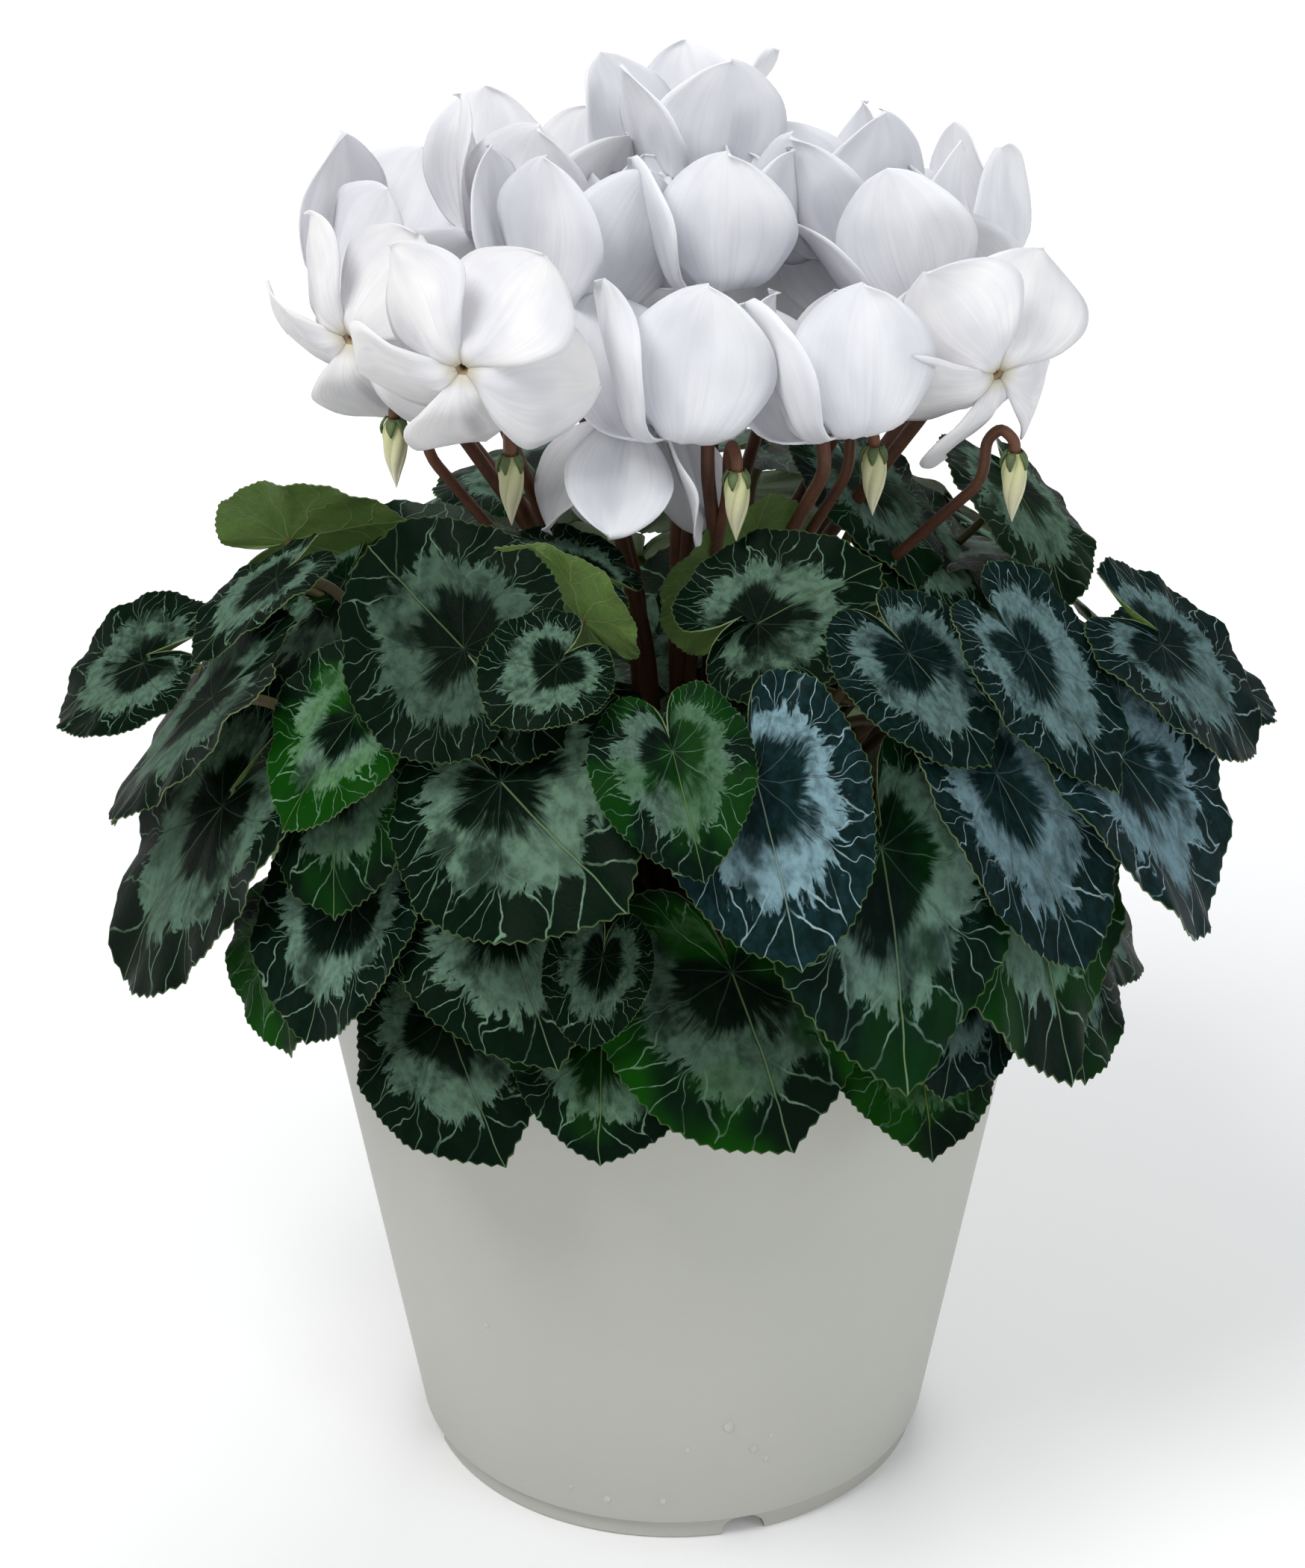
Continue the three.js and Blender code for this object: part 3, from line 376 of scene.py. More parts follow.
def rounded(points, reach, steps=5, spacing=6.0):
    """A line through points whose corners are rounded over `reach` millimetres at most."""
    points = [np.asarray(p, float) for p in points]
    line = [points[0]]
    for before, here, after in zip(points, points[1:], points[2:]):
        r = min(reach, 0.45 * np.linalg.norm(here - before), 0.45 * np.linalg.norm(after - here))
        start = here + unit(before - here) * r
        end = here + unit(after - here) * r
        for t in np.linspace(0, 1, steps):
            line.append((1 - t) ** 2 * start + 2 * t * (1 - t) * here + t * t * end)
    line.append(points[-1])
    full = [line[0]]
    for a, b in zip(line, line[1:]):
        pieces = max(1, int(np.linalg.norm(b - a) / spacing))
        full += [a + (b - a) * k / pieces for k in range(1, pieces + 1)]
    return np.array(full)


# The CAD's own corners


def corners_of(*names):
    """A search tree over the corners of CAD nodes, in millimetres."""
    parts = []
    for name in names:
        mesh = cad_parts[name].data
        co = np.zeros(len(mesh.vertices) * 3)
        mesh.vertices.foreach_get("co", co)
        parts.append(co.reshape(-1, 3) / MM)
    points = np.concatenate(parts)
    tree = KDTree(len(points))
    for i, point in enumerate(points):
        tree.insert(point, i)
    tree.balance()
    return tree


def share_found(tree, points):
    """The share of points that are corners of the CAD."""
    return sum(tree.find(point)[2] < FOUND for point in points) / len(points)


def ring_found(tree, centre, radius):
    """How many corners of a stem's ring the CAD has round a point."""
    near = tree.find_range(centre, radius + FOUND)
    return min(4, sum(distance > radius - FOUND for _, _, distance in near))


# Leaves: a heart-shaped blade, given from the stem's end in its notch

# Distance from the stem to the edge, as a share of the midrib, by degrees from the tip
HEART = [
    [0, 1], [12, 0.9], [32, 0.8], [60, 0.73], [92, 0.68],
    [122, 0.64], [146, 0.59], [163, 0.48], [174, 0.27], [180, 0.08],
]

LEAF = {
    "width": 1, "fold": 0.07, "cup": 0.03, "wave": 0.035, "waves": 3, "bend": 24, "sag": 26,
    "tilt": 58, "roll": 0, "middle": 5, "edge": 16,
}

# The front leaves, from the lowest and innermost to the uppermost and outermost
FRONT_LEAVES = [
    {"root": [-31, 113, 184], "tip": [-19, 129, 154]},
    {"root": [-9, 114, 186], "tip": [-8, 129, 157], "width": 1.1},
    {"root": [33, 113, 182], "tip": [31, 128, 148], "width": 1.1},
    {"root": [-59, 118, 194], "tip": [-49, 131, 164]},
    {"root": [54, 122, 194], "tip": [49, 140, 158], "tilt": 66},
    {"root": [39, 116, 196], "tip": [31, 133, 166], "tilt": 66},
    {"root": [-42, 122, 214], "tip": [-44, 136, 174], "fold": 0.2, "width": 0.85},
    {"root": [-21, 116, 220], "tip": [-12, 136, 188], "bend": 30},
    {"root": [-8, 124, 214], "tip": [-9, 134, 192], "width": 0.8},
    {"root": [7, 120, 208], "tip": [13, 136, 163]},
    {"root": [44, 122, 232], "tip": [45, 143, 166], "width": 0.74, "tilt": 66},
    {"root": [26, 118, 236], "tip": [24, 141, 180], "width": 0.85, "tilt": 62},
    {"root": [-61, 134, 228], "tip": [-74, 154, 164], "width": 0.6, "tilt": 70},
    {"root": [-44, 118, 250], "tip": [-38, 136, 214], "width": 0.85},
    {"root": [-20, 122, 258], "tip": [-4, 146, 238], "width": 1.05},
    {"root": [9, 128, 264], "tip": [12, 148, 220], "width": 0.8, "tilt": 64},
    {"root": [0, 128, 272], "tip": [3, 146, 246], "width": 0.85, "fold": 0.16},
    {"root": [37, 132, 256], "tip": [43, 150, 202], "width": 0.56, "fold": 0.2, "tilt": 70},
    {"root": [54, 140, 250], "tip": [64, 158, 194], "width": 0.58, "fold": 0.2, "tilt": 70},
    {"root": [-28, 102, 275], "tip": [-12, 120, 267], "width": 0.7, "tilt": 40},
    {"root": [-32, 98, 280], "tip": [-56, 92, 294], "cup": 0.08, "tilt": 52, "fold": 0.02},
    {"root": [-42, 118, 264], "tip": [-46, 136, 234], "fold": 0.2, "width": 0.82},
    {"root": [-62, 134, 258], "tip": [-76, 152, 212], "width": 0.6, "roll": 16},
    {"root": [-80, 142, 250], "tip": [-88, 168, 226], "width": 0.7, "roll": -10},
    {"root": [-66, 108, 276], "tip": [-65, 132, 256], "width": 0.8},
    {"root": [31, 112, 284], "tip": [36, 133, 258], "width": 0.8},
    {"root": [46, 122, 280], "tip": [50, 143, 244], "width": 0.72},
    {"root": [63, 134, 268], "tip": [72, 156, 232], "width": 0.7},
    {"root": [80, 138, 252], "tip": [86, 166, 230], "width": 0.7, "tilt": 60},
    {"root": [-16, 102, 282], "tip": [-22, 117, 270], "cup": 0.09, "wave": 0.05},
    {"root": [15, 82, 285], "tip": [38, 84, 293], "cup": 0.16, "tilt": 28, "fold": 0.02},
    {"root": [-22, 62, 290], "tip": [-46, 72, 294], "tilt": 14, "width": 0.7},
]

# Round the sides and the back the leaves stand in bunches, each leaf a shingle of its row
BUNCH_TURNS = {"from": 81, "to": 266, "count": 7}
BUNCH_LEAVES = [
    {"root": [0, 114, 184], "tip": [3, 132, 146], "tilt": 62},
    {"root": [11, 122, 222], "tip": [8, 148, 180], "tilt": 58},
    {"root": [-2, 106, 256], "tip": [-6, 140, 222], "tilt": 46},
]
BUNCH_CROWN_LEAF = {"root": [10, 66, 268], "tip": [6, 102, 262], "tilt": 26}


def bunch_turn(i):
    return BUNCH_TURNS["from"] + (BUNCH_TURNS["to"] - BUNCH_TURNS["from"]) * i / (BUNCH_TURNS["count"] - 1)


def front_leaves():
    draw = draws(20240711)
    return [{**LEAF, **leaf, "phase": draw() * 2 * math.pi} for leaf in FRONT_LEAVES]


def leaf_bunches():
    """The leaves of each bunch, from its lowest to its uppermost."""
    draw = draws(5150)

    def jitter(spread):
        return (draw() - 0.5) * 2 * spread

    def moved(polar, turn, spreads):
        turned = [turn + polar[0], polar[1], polar[2]]
        return [value + jitter(spread) for value, spread in zip(turned, spreads)]

    bunches = []
    for i in range(BUNCH_TURNS["count"]):
        own = BUNCH_LEAVES + ([BUNCH_CROWN_LEAF] if i % 2 == 0 else [])
        bunch = []
        for leaf in own:
            grown = {**LEAF, "edge": 12}
            grown["root"] = moved(leaf["root"], bunch_turn(i), [2, 2, 4])
            grown["tip"] = moved(leaf["tip"], bunch_turn(i), [7, 3, 4])
            grown["tilt"] = leaf["tilt"] + jitter(5)
            grown["width"] = 1 + jitter(0.1)
            grown["phase"] = draw() * 2 * math.pi
            bunch.append(grown)
        bunches.append(bunch)
    return bunches


def bent(run, height, turn):
    """Bends a strip: `turn` is the angle per millimetre along it, downwards where positive."""
    a = run * turn
    return np.sin(a) / turn + height * np.sin(a), (np.cos(a) - 1) / turn + height * np.cos(a)


def blade_sheet(leaf, length, share, angle, tooth, side, relief=0.0):
    """Points of a blade's middle sheet, in its own frame of midrib, side and normal."""
    lopsided = 1 + LOPSIDED * side * math.sin(leaf["phase"])
    reach = length * along(HEART, np.abs(np.degrees(angle))) * lopsided * (1 + tooth) * share
    u = reach * np.cos(angle)
    v = reach * np.sin(angle) * leaf["width"]
    rim = share * share
    ripple = np.sin(leaf["waves"] * angle + leaf["phase"])
    rise = leaf["fold"] * np.abs(v) + leaf["cup"] * length * rim
    rise = rise + leaf["wave"] * length * rim * share * ripple + relief
    v2, w2 = bent(v, rise, math.radians(leaf["sag"]) / length)
    u3, w3 = bent(u, w2, math.radians(leaf["bend"]) / length)
    return np.stack([u3, v2, w3], axis=-1)


def turned_about(v, axis, angle):
    """v turned about a unit axis."""
    along_axis = axis * np.dot(axis, v) * (1 - math.cos(angle))
    return v * math.cos(angle) + np.cross(axis, v) * math.sin(angle) + along_axis


def leaf_frame(leaf):
    """The blade's frame: where its stem ends, its midrib, its side and the way it faces."""
    root = place(leaf["root"])
    chord = np.linalg.norm(place(leaf["tip"]) - root)
    midrib = (place(leaf["tip"]) - root) / chord
    tilt = math.radians(leaf["tilt"])
    facing = outwards(leaf["root"][0]) * math.sin(tilt) + UP * math.cos(tilt)
    normal = unit(facing - midrib * np.dot(facing, midrib))
    normal = turned_about(normal, midrib, math.radians(leaf["roll"]))
    half = math.radians(leaf["bend"]) / 2
    start = midrib * math.cos(half) + normal * math.sin(half)
    facing_start = normal * math.cos(half) - midrib * math.sin(half)
    return {
        "root": root, "midrib": start, "side": np.cross(facing_start, start),
        "normal": facing_start, "length": chord * half / math.sin(half),
    }


def in_frame(points, at):
    """Points of a blade's own frame, on the plant."""
    axes = np.array([at["midrib"], at["side"], at["normal"]])
    return points @ axes + at["root"]


def coarse_blade(leaf, at):
    """The CAD's own corners of a blade, both faces."""
    middle, edge = leaf["middle"], leaf["edge"]
    inner = 2 * np.pi * np.arange(middle) / middle - np.pi
    outer = 2 * np.pi * np.arange(edge) / edge - np.pi
    share = np.concatenate([[0], np.full(middle, MIDDLE_RING), np.ones(edge)])
    angle = np.concatenate([[0], inner, outer])
    tooth = np.concatenate([np.zeros(middle + 1), np.where(np.arange(edge) % 2 == 0, TOOTH, -TOOTH)])
    side = np.where(angle < 0, -1, 1)
    points = in_frame(blade_sheet(leaf, at["length"], share, angle, tooth, side), at)
    c = np.arange(middle)
    fan = np.stack([np.zeros(middle, int), 1 + c, 1 + (c + 1) % middle], axis=1)
    faces = [np.concatenate([fan, ring_triangles(1, middle, 1 + middle, edge)])]
    return thickened(points, faces, BLADE_THICKNESS)[0]


def ring_triangles(inner, inner_count, outer, outer_count):
    """Triangles between two closed rings of points that start at the same angle."""
    triangles = []
    i = 0
    j = 0
    while i < inner_count or j < outer_count:
        a = inner + i % inner_count
        b = outer + j % outer_count
        if j < outer_count and (i >= inner_count or (j + 1) / outer_count <= (i + 1) / inner_count):
            triangles.append([a, b, outer + (j + 1) % outer_count])
            j += 1
        else:
            triangles.append([a, b, inner + (i + 1) % inner_count])
            i += 1
    return np.array(triangles)


def settle_leaf(leaf, direction_of, tree):
    """Finds how far the CAD moved a leaf, in steps, by matching its corners."""
    at = leaf_frame(leaf)
    corners = coarse_blade(leaf, at)
    direction = direction_of(at)
    scores = [share_found(tree, corners + direction * LIFT_STEP * k) for k in range(LIFT_STEPS + 1)]
    k = int(np.argmax(scores))
    at["root"] = at["root"] + direction * LIFT_STEP * k
    return at


def fine_blade(leaf, at):
    """The fine blade: its rings out to a toothed edge, puckered between the veins."""
    length = at["length"]
    share = np.array(LEAF_RINGS)[:, None]
    angle = (2 * np.pi * np.arange(LEAF_EDGE) / LEAF_EDGE - np.pi)[None, :]
    phase = leaf["phase"]
    side = np.clip(np.sin(angle) / 0.5, -1, 1)
    teeth = np.where(np.arange(LEAF_EDGE) % 2 == 0, FINE_TOOTH, -FINE_TOOTH)[None, :]
    tooth = teeth * (share > 0.99) + 0.3 * teeth * (np.abs(share - 0.975) < 0.01)
    blunt = BLUNT * (0.5 + 0.5 * math.sin(3 * phase))
    tooth = tooth - blunt * np.exp(-((angle / 0.2) ** 2))
    tooth = tooth + 0.5 * blunt * np.exp(-(((np.abs(angle) - 0.5) / 0.25) ** 2))
    pucker = np.cos(VEINS * angle + 0.6 * np.sin(2 * angle + phase)) * np.sin(np.pi * share) * share
    dents = np.sin(7 * share + 3 * np.cos(angle + phase)) * np.sin(4 * angle + 3 * phase) * share
    relief = LEAF_RELIEF["pucker"] * pucker + LEAF_RELIEF["dents"] * dents
    relief = relief + LEAF_RELIEF["ruffle"] * np.sin(9 * angle + 2 * phase) * share ** 4
    relief = relief + LEAF_RELIEF["frill"] * np.sin(17 * angle + 5 * phase) * share ** 6
    full_share = np.broadcast_to(share, (len(LEAF_RINGS), LEAF_EDGE))
    full_angle = np.broadcast_to(angle, full_share.shape)
    sheet = blade_sheet(leaf, length, full_share, full_angle, tooth, side, length * relief).reshape(-1, 3)
    centre = blade_sheet(leaf, length, np.zeros(1), np.zeros(1), 0, 0)
    points = in_frame(np.concatenate([sheet, centre]), at)
    faces = [grid_faces(len(LEAF_RINGS), LEAF_EDGE, closed=True, flip=True)]
    faces.append(fan_faces(len(sheet), 0, LEAF_EDGE, flip=True))
    thickness = np.append(FINE_BLADE * (1 - 0.35 * full_share.ravel()), FINE_BLADE)
    both, groups = thickened(points, faces, thickness)
    flat = np.stack([full_share * np.cos(full_angle), full_share * np.sin(full_angle)], axis=-1)
    uv = np.concatenate([flat.reshape(-1, 2), [[0.0, 0.0]]])
    return both, groups, np.concatenate([uv, uv])


# Blooms: five petals swept back from the mouth of a short tube, like blades of a pinwheel

BLOOM = {
    "nod": 70, "face": 0, "spin": 0, "flare": 162, "length": 46.5, "width": 17, "twist": 22, "cup": 0.16,
    "trim": 1,
}

# Half the width of a petal, as a share of its widest, along it: the CAD's, and the fuller fine
# one, which runs on inwards to the throat
PETAL = [
    [0, 0.09], [0.12, 0.2], [0.3, 0.55], [0.5, 0.9], [0.66, 1], [0.84, 0.84], [0.95, 0.46], [1, 0],
]
FULL_PETAL = [
    [PETAL_START, 0.07], [0, 0.2], [0.12, 0.38], [0.3, 0.78], [0.46, 1.02], [0.58, 1.06], [0.74, 0.92],
    [0.87, 0.62], [0.955, 0.31], [1, 0],
]

# A petal leaves the mouth at `lean` degrees from the way it faces and has its full flare at `full`
PETAL_CURVE = {"base": 1.5, "lean": 75, "full": 0.32, "steps": 12}

PINWHEEL = {"nod": 14, "flare": 124, "spin": 180, "length": 37.5, "width": 16.5, "trim": 0.86}
BELL = {"nod": 74, "flare": 26, "length": 36, "width": 13}
BLOOMS = [
    {"at": [-60, 95, 348], "face": -32, **PINWHEEL},
    {"at": [-31, 99, 352], "face": -12, **PINWHEEL},
    {"at": [55, 100, 342], "face": 32, **PINWHEEL},
    {"at": [0, 62, 326], "nod": 70, "face": -8, "length": 48, "width": 18},
    {"at": [34, 75, 327], "nod": 70, "face": 24, "length": 46, "width": 17},
    {"at": [-12, 42, 330], "face": -14, **BELL},
    {"at": [-50, 38, 350], "nod": 74, "face": -34},
    {"at": [76, 64, 346], "nod": 66, "face": 62, "width": 17},
    {"at": [162, 13, 372], "nod": 84, "face": 20, "length": 43},
    {"at": [-102, 44, 356], "nod": 76, "face": -70},
    {"at": [93, 42, 356], "nod": 76, "face": 60, "length": 44},
    {"at": [-103, 84, 342], "nod": 60, "face": -100},
    {"at": [113, 90, 338], "nod": 60, "face": 110},
    {"at": [178, 74, 342], "nod": 60, "face": 178},
    {"at": [24, 26, 354], "nod": 76, "face": 12, "length": 43},
]

# One more bloom hangs low in the middle of the dome
INNER_BLOOM = {**BLOOM, "at": [124, 22, 324], "nod": 76, "face": 4, "length": 44}

# Buds hang among the blooms, given by the middle of the bud
BUDS = [[-60, 82, 318], [-35, 76, 314], [14, 66, 312], [45, 72, 314], [60, 100, 312]]


def bloom_frame(bloom):
    """The bloom's frame: `back` runs from the mouth to the stem."""
    nod = math.radians(bloom["nod"])
    back = -(outwards(bloom["face"]) * math.cos(nod) - UP * math.sin(nod))
    side = unit(UP - back * np.dot(UP, back))
    return {"at": place(bloom["at"]), "side": side, "other": np.cross(back, side), "back": back}


def petal_sheet(bloom, at, turn, share, across, table, relief=0.0):
    """Points of a petal's middle sheet, `share` along it and `across` from -1 to 1."""
    full, steps = PETAL_CURVE["full"], PETAL_CURVE["steps"]
    lean0 = PETAL_CURVE["lean"]

    def lean_at(where):
        return np.radians(lean0 + (bloom["flare"] - lean0) * smooth(where / full))

    out = PETAL_ROOT
    back = PETAL_CURVE["base"]
    for k in range(steps):
        passing = lean_at(share * (k + 0.5) / steps)
        out = out + np.sin(passing) * share * bloom["length"] / steps
        back = back - np.cos(passing) * share * bloom["length"] / steps
    lean = lean_at(share)[..., None]
    half = bloom["width"] * along(table, share)
    twist = (math.radians(bloom["twist"]) * smooth(share / 0.3))[..., None]
    radial = at["side"] * math.cos(turn) + at["other"] * math.sin(turn)
    around = np.cross(at["back"], radial)
    forward = radial * np.sin(lean) - at["back"] * np.cos(lean)
    face = np.cross(forward, around)
    across3 = around * np.cos(twist) - face * np.sin(twist)
    normal = face * np.cos(twist) + around * np.sin(twist)
    height = bloom["cup"] * half * across * across + relief
    points = at["at"] + radial * out[..., None] + at["back"] * back[..., None]
    return points + across3 * (half * across)[..., None] + normal * height[..., None]


def coarse_petals(bloom, at, turns):
    """The CAD's own corners of petals, both faces."""
    share = np.append(np.repeat(PETAL_ROWS, 3), 1.0)
    across = np.array([-1, 0, 1] * 3 + [0], float)
    faces = []
    for row in range(len(PETAL_ROWS) - 1):
        for col in range(2):
            a = row * 3 + col
            faces += [[a, a + 3, a + 1], [a + 1, a + 3, a + 4]]
    last = (len(PETAL_ROWS) - 1) * 3
    faces += [[last, last + 3, last + 1], [last + 1, last + 3, last + 2]]
    found = []
    for turn in turns:
        points = petal_sheet(bloom, at, turn, share, across, PETAL)
        found.append(thickened(points, [np.array(faces)], PETAL_THICKNESS)[0])
    return np.concatenate(found)


def petal_turns(bloom):
    return [math.radians(bloom["spin"] + 360 * k / PETALS) for k in range(PETALS)]


def settle_bloom(own, tree):
    """Finds how far the CAD moved and turned a bloom, by matching its corners."""
    bloom = {**BLOOM, **own}
    at = bloom_frame(bloom)
    out = unit(at["at"] * [1, 1, 0])
    across = np.cross(UP, out)
    ways = [unit(out * w[0] + across * w[1] + UP * w[2]) for w in BLOOM_WAYS]
    best = (0, None)
    for spin in BLOOM_SPINS:
        spun = {**bloom, "spin": bloom["spin"] + spin}
        corners = coarse_petals(spun, at, petal_turns(spun))
        for step in range(int(BLOOM_REACH / BLOOM_STEP) + 1):
            for way in ways[: 1 if step == 0 else None]:
                shift = way * step * BLOOM_STEP
                score = share_found(tree, corners + shift)
                if score > best[0]:
                    best = (score, (spun, shift))
    spun, shift = best[1]
    at["at"] = at["at"] + shift
    return spun, at


def fine_petal(bloom, at, turn, mark):
    """A fine petal: lengthwise folds, a wavy rim and a small point."""
    bloom = {**bloom, "length": bloom["length"] * bloom["trim"]}
    near_tip = [0.93, 0.955, 0.975, 0.99, 0.998]
    share = np.concatenate([np.linspace(PETAL_START, 0.9, PETAL_STEPS - len(near_tip)), near_tip])
    share = np.broadcast_to(share[:, None], (len(share), PETAL_COLUMNS))
    across = np.broadcast_to(np.linspace(-1, 1, PETAL_COLUMNS)[None, :], share.shape)
    phase = mark * 2.4
    size = PETAL_RELIEF
    fold = size["fold"] * np.exp(-((across / 0.16) ** 2)) * np.sin(np.pi * np.minimum(share * 1.3, 1))
    wave = size["wave"] * across ** 2 * smooth(share) * np.sin(5.5 * share + phase + 1.6 * np.sign(across))
    frill = size["frill"] * np.abs(across) ** 3 * smooth(share) * np.sin(13 * share + 2.3 * phase)
    curl = size["curl"] * smooth((share - 0.7) / 0.3) * math.sin(phase * 1.7)
    streak = size["streak"] * np.sin(across * 21 + phase) * smooth(share / 0.2) * (1 - share)
    relief = fold + wave + frill + curl + streak
    points = petal_sheet(bloom, at, turn, share, across, FULL_PETAL, relief)
    tip = petal_sheet(bloom, at, turn, np.array([1.0]), np.zeros(1), FULL_PETAL, np.array([curl[-1, 0]]))
    sheet = np.concatenate([points.reshape(-1, 3), tip])
    rows = share.shape[0]
    faces = [grid_faces(rows, PETAL_COLUMNS, flip=True)]
    c = np.arange(PETAL_COLUMNS - 1) + (rows - 1) * PETAL_COLUMNS
    faces.append(np.stack([np.full(len(c), len(sheet) - 1), c + 1, c], axis=1))
    thickness = FINE_PETAL * (1.3 - 0.5 * np.append(share.ravel(), 1.0))
    both, groups = thickened(sheet, faces, thickness, [0, 0, 0])
    uv = np.stack([np.append(across.ravel(), 0.0), np.append(share.ravel(), 1.0)], axis=1)
    return both, groups, np.concatenate([uv, uv])


def on_axes(points, at):
    """Points whose third axis is the bloom's back, on the plant."""
    return points @ np.array([at["side"], at["other"], at["back"]]) + at["at"]


def flower_tube(at):
    """The short tube with its mouth hollowed to a throat."""
    profile = [
        [0, 4.4], [0.6, 4.2], [0.9, 3.6], [1.3, 2.9], [1.8, 2.5], [2.6, 2.3], [3.4, 2.3], [4.1, 2.5],
        [4.4, 3.0], [4.4, 3.6], [3.9, 5.6], [3.2, 7.4], [1.6, 8], [0, 8],
    ]
    points, faces = lathe(profile, FLOWER_TUBE_SIDES)
    angle = np.arctan2(points[:, 1], points[:, 0])
    swell = 1 + 0.06 * np.cos(PETALS * angle)
    points = points * np.stack([swell, swell, np.ones_like(swell)], axis=1)
    height = np.clip(points[:, 2] / FLOWER_TUBE, 0, 1)
    reach = np.hypot(points[:, 0], points[:, 1])
    throat = np.where(points[:, 2] < 5, np.clip(1 - reach / MOUTH_RADIUS, 0, 1), 0)
    return on_axes(points, at), faces, np.stack([throat, height], axis=1)


def add_sepals(piece, slot, root, axes, reach, width, start_radius, draw):
    """Five small pointed calyx lobes that lie round a tube or a bud, whose stem is along the last axis."""
    side, other, back = axes
    rows = 7
    cols = 5
    share = np.linspace(0, 1, rows)[:, None]
    across = np.linspace(-1, 1, cols)[None, :]
    half = width * np.array([0.75, 1.0, 1.05, 0.9, 0.66, 0.36, 0.05])[:, None]
    out = start_radius + 0.5 + 1.1 * np.sin(share * 2.6) + 0.5 * share
    for k in range(PETALS):
        turn = 2 * math.pi * (k + 0.5) / PETALS + 0.3 * (draw() - 0.5)
        radial = side * math.cos(turn) + other * math.sin(turn)
        around = np.cross(back, radial)
        points = root + radial * (out - 0.35 * across ** 2)[..., None]
        points = points - back * (reach * share + 0 * across)[..., None] + around * (half * across)[..., None]
        piece.add(*thickened(points.reshape(-1, 3), [grid_faces(rows, cols)], 0.45, [slot] * 3))


# Stems


def best_route(routes, tree, radius, checks):
    """The route whose rings the CAD has most of. checks are the places in a route that are looked at."""
    best = (-1, None)
    known = {}
    for route in routes:
        score = 0
        for k in checks:
            key = tuple(np.round(route[k], 3))
            if key not in known:
                known[key] = ring_found(tree, route[k], radius)
            score += known[key]
        if score > best[0]:
            best = (score, route)
        if score == 4 * len(checks):
            break
    return best


def leaf_routes(at, start, sunk):
    """Ways for a leaf's stem to come up from the tuber and in under the blade."""
    routes = []
    for under in LEAF_STEM_WAYS["under"]:
        slant = math.sin(math.radians(under))
        approach = -at["normal"] * math.cos(math.radians(under)) - at["midrib"] * slant
        gap = STEM_IN_BLADE if sunk else BLADE_THICKNESS / 2 + SEAT_GAP + LEAF_STEM_RADIUS * slant
        end = at["root"] + approach * gap
        for reach in LEAF_STEM_WAYS["reach"]:
            neck = at["root"] + approach * (gap + reach)
            across = unit(np.cross(UP, neck))
            for rise in LEAF_STEM_WAYS["rise"]:
                for swing in LEAF_STEM_WAYS["swing"]:
                    middle = start + (neck - start) * 0.5
                    middle[2] = start[2] + (neck[2] - start[2]) * rise
                    middle = middle + across * swing
                    middle[2] = max(middle[2], start[2] + LEAF_STEM_WAYS["least_rise"])
                    routes.append([start, middle, neck, end])
    return routes


def flower_hooks(bloom, at):
    """The hooked ends a flower's stem may have, each from behind the tube back to the neck."""
    seat = FLOWER_TUBE + SEAT_GAP
    if bloom["nod"] < UPRIGHT_NOD:
        return [
            [at["at"] + at["back"] * (seat + run) - UP * down * drop for run, down in LEVEL_HOOK["points"]]
            for drop in LEVEL_HOOK["drops"]
        ]
    inwards = unit(-at["at"] * [1, 1, 0])
    gaps = []
    for k in range(PETALS):
        turn = math.radians(bloom["spin"] + 360 * (k + 0.5) / PETALS)
        gaps.append(at["side"] * math.cos(turn) + at["other"] * math.sin(turn))
    gaps.sort(key=lambda gap: -np.dot(gap, inwards))
    return [
        [at["at"] + gap * out + at["back"] * (seat + back) for out, back in NODDING_HOOK]
        for gap in gaps
    ]


def hooked_routes(hooks, start):
    """Ways for a flower's or bud's stem to come up from the tuber and into one of its hooks."""
    routes = []
    for hook in hooks:
        neck = hook[-1]
        across = unit(np.cross(UP, neck))
        for waist in FLOWER_STEM_WAYS["waist"]:
            for swing in FLOWER_STEM_WAYS["swing"]:
                middle = neck * waist
                middle[2] = start[2] + (neck[2] - start[2]) * FLOWER_STEM_WAYS["rise"]
                middle = middle + across * swing
                foot = start + UP * FLOWER_STEM_WAYS["foot"]
                routes.append([start, foot, middle] + hook[::-1])
    return routes


def on_tuber(turn, out):
    return outwards(turn) * out + UP * (TUBER_TOP - STEM_SUNK)


def bud_hooks(at):
    top = at + UP * (BUD_LENGTH / 2 - 1)
    hooks = []
    for turn in BUD_HOOK["turns"]:
        inwards = turned_about(unit(-at * [1, 1, 0]), UP, math.radians(turn))
        hooks.append([top + inwards * run + UP * rise for run, rise in BUD_HOOK["points"]])
    return hooks


def bud_places(wish):
    out = unit(wish * [1, 1, 0])
    return [wish + UP * rise + out * run for rise in BUD_PLACES["rise"] for run in BUD_PLACES["run"]]


def find_bud(wish, tree):
    """Where the CAD has a bud: its middle and its stem's route."""
    best = (-1, None)
    for at in bud_places(place(wish)):
        start = on_tuber(turn_of(at) + BUD_STEM_TURN, BUD_STEM_OUT)
        found = best_route(hooked_routes(bud_hooks(at), start), tree, BUD_STEM_RADIUS, [2, 3, 4, 5])
        if found[0] > best[0]:
            best = (found[0], (at, found[1]))
    return best


# Materials


def srgb(r, g, b):
    """A screen colour of 0 to 255 as linear light."""
    def linear(c):
        c = c / 255
        return c / 12.92 if c <= 0.04045 else ((c + 0.055) / 1.055) ** 2.4
    return (linear(r), linear(g), linear(b), 1.0)


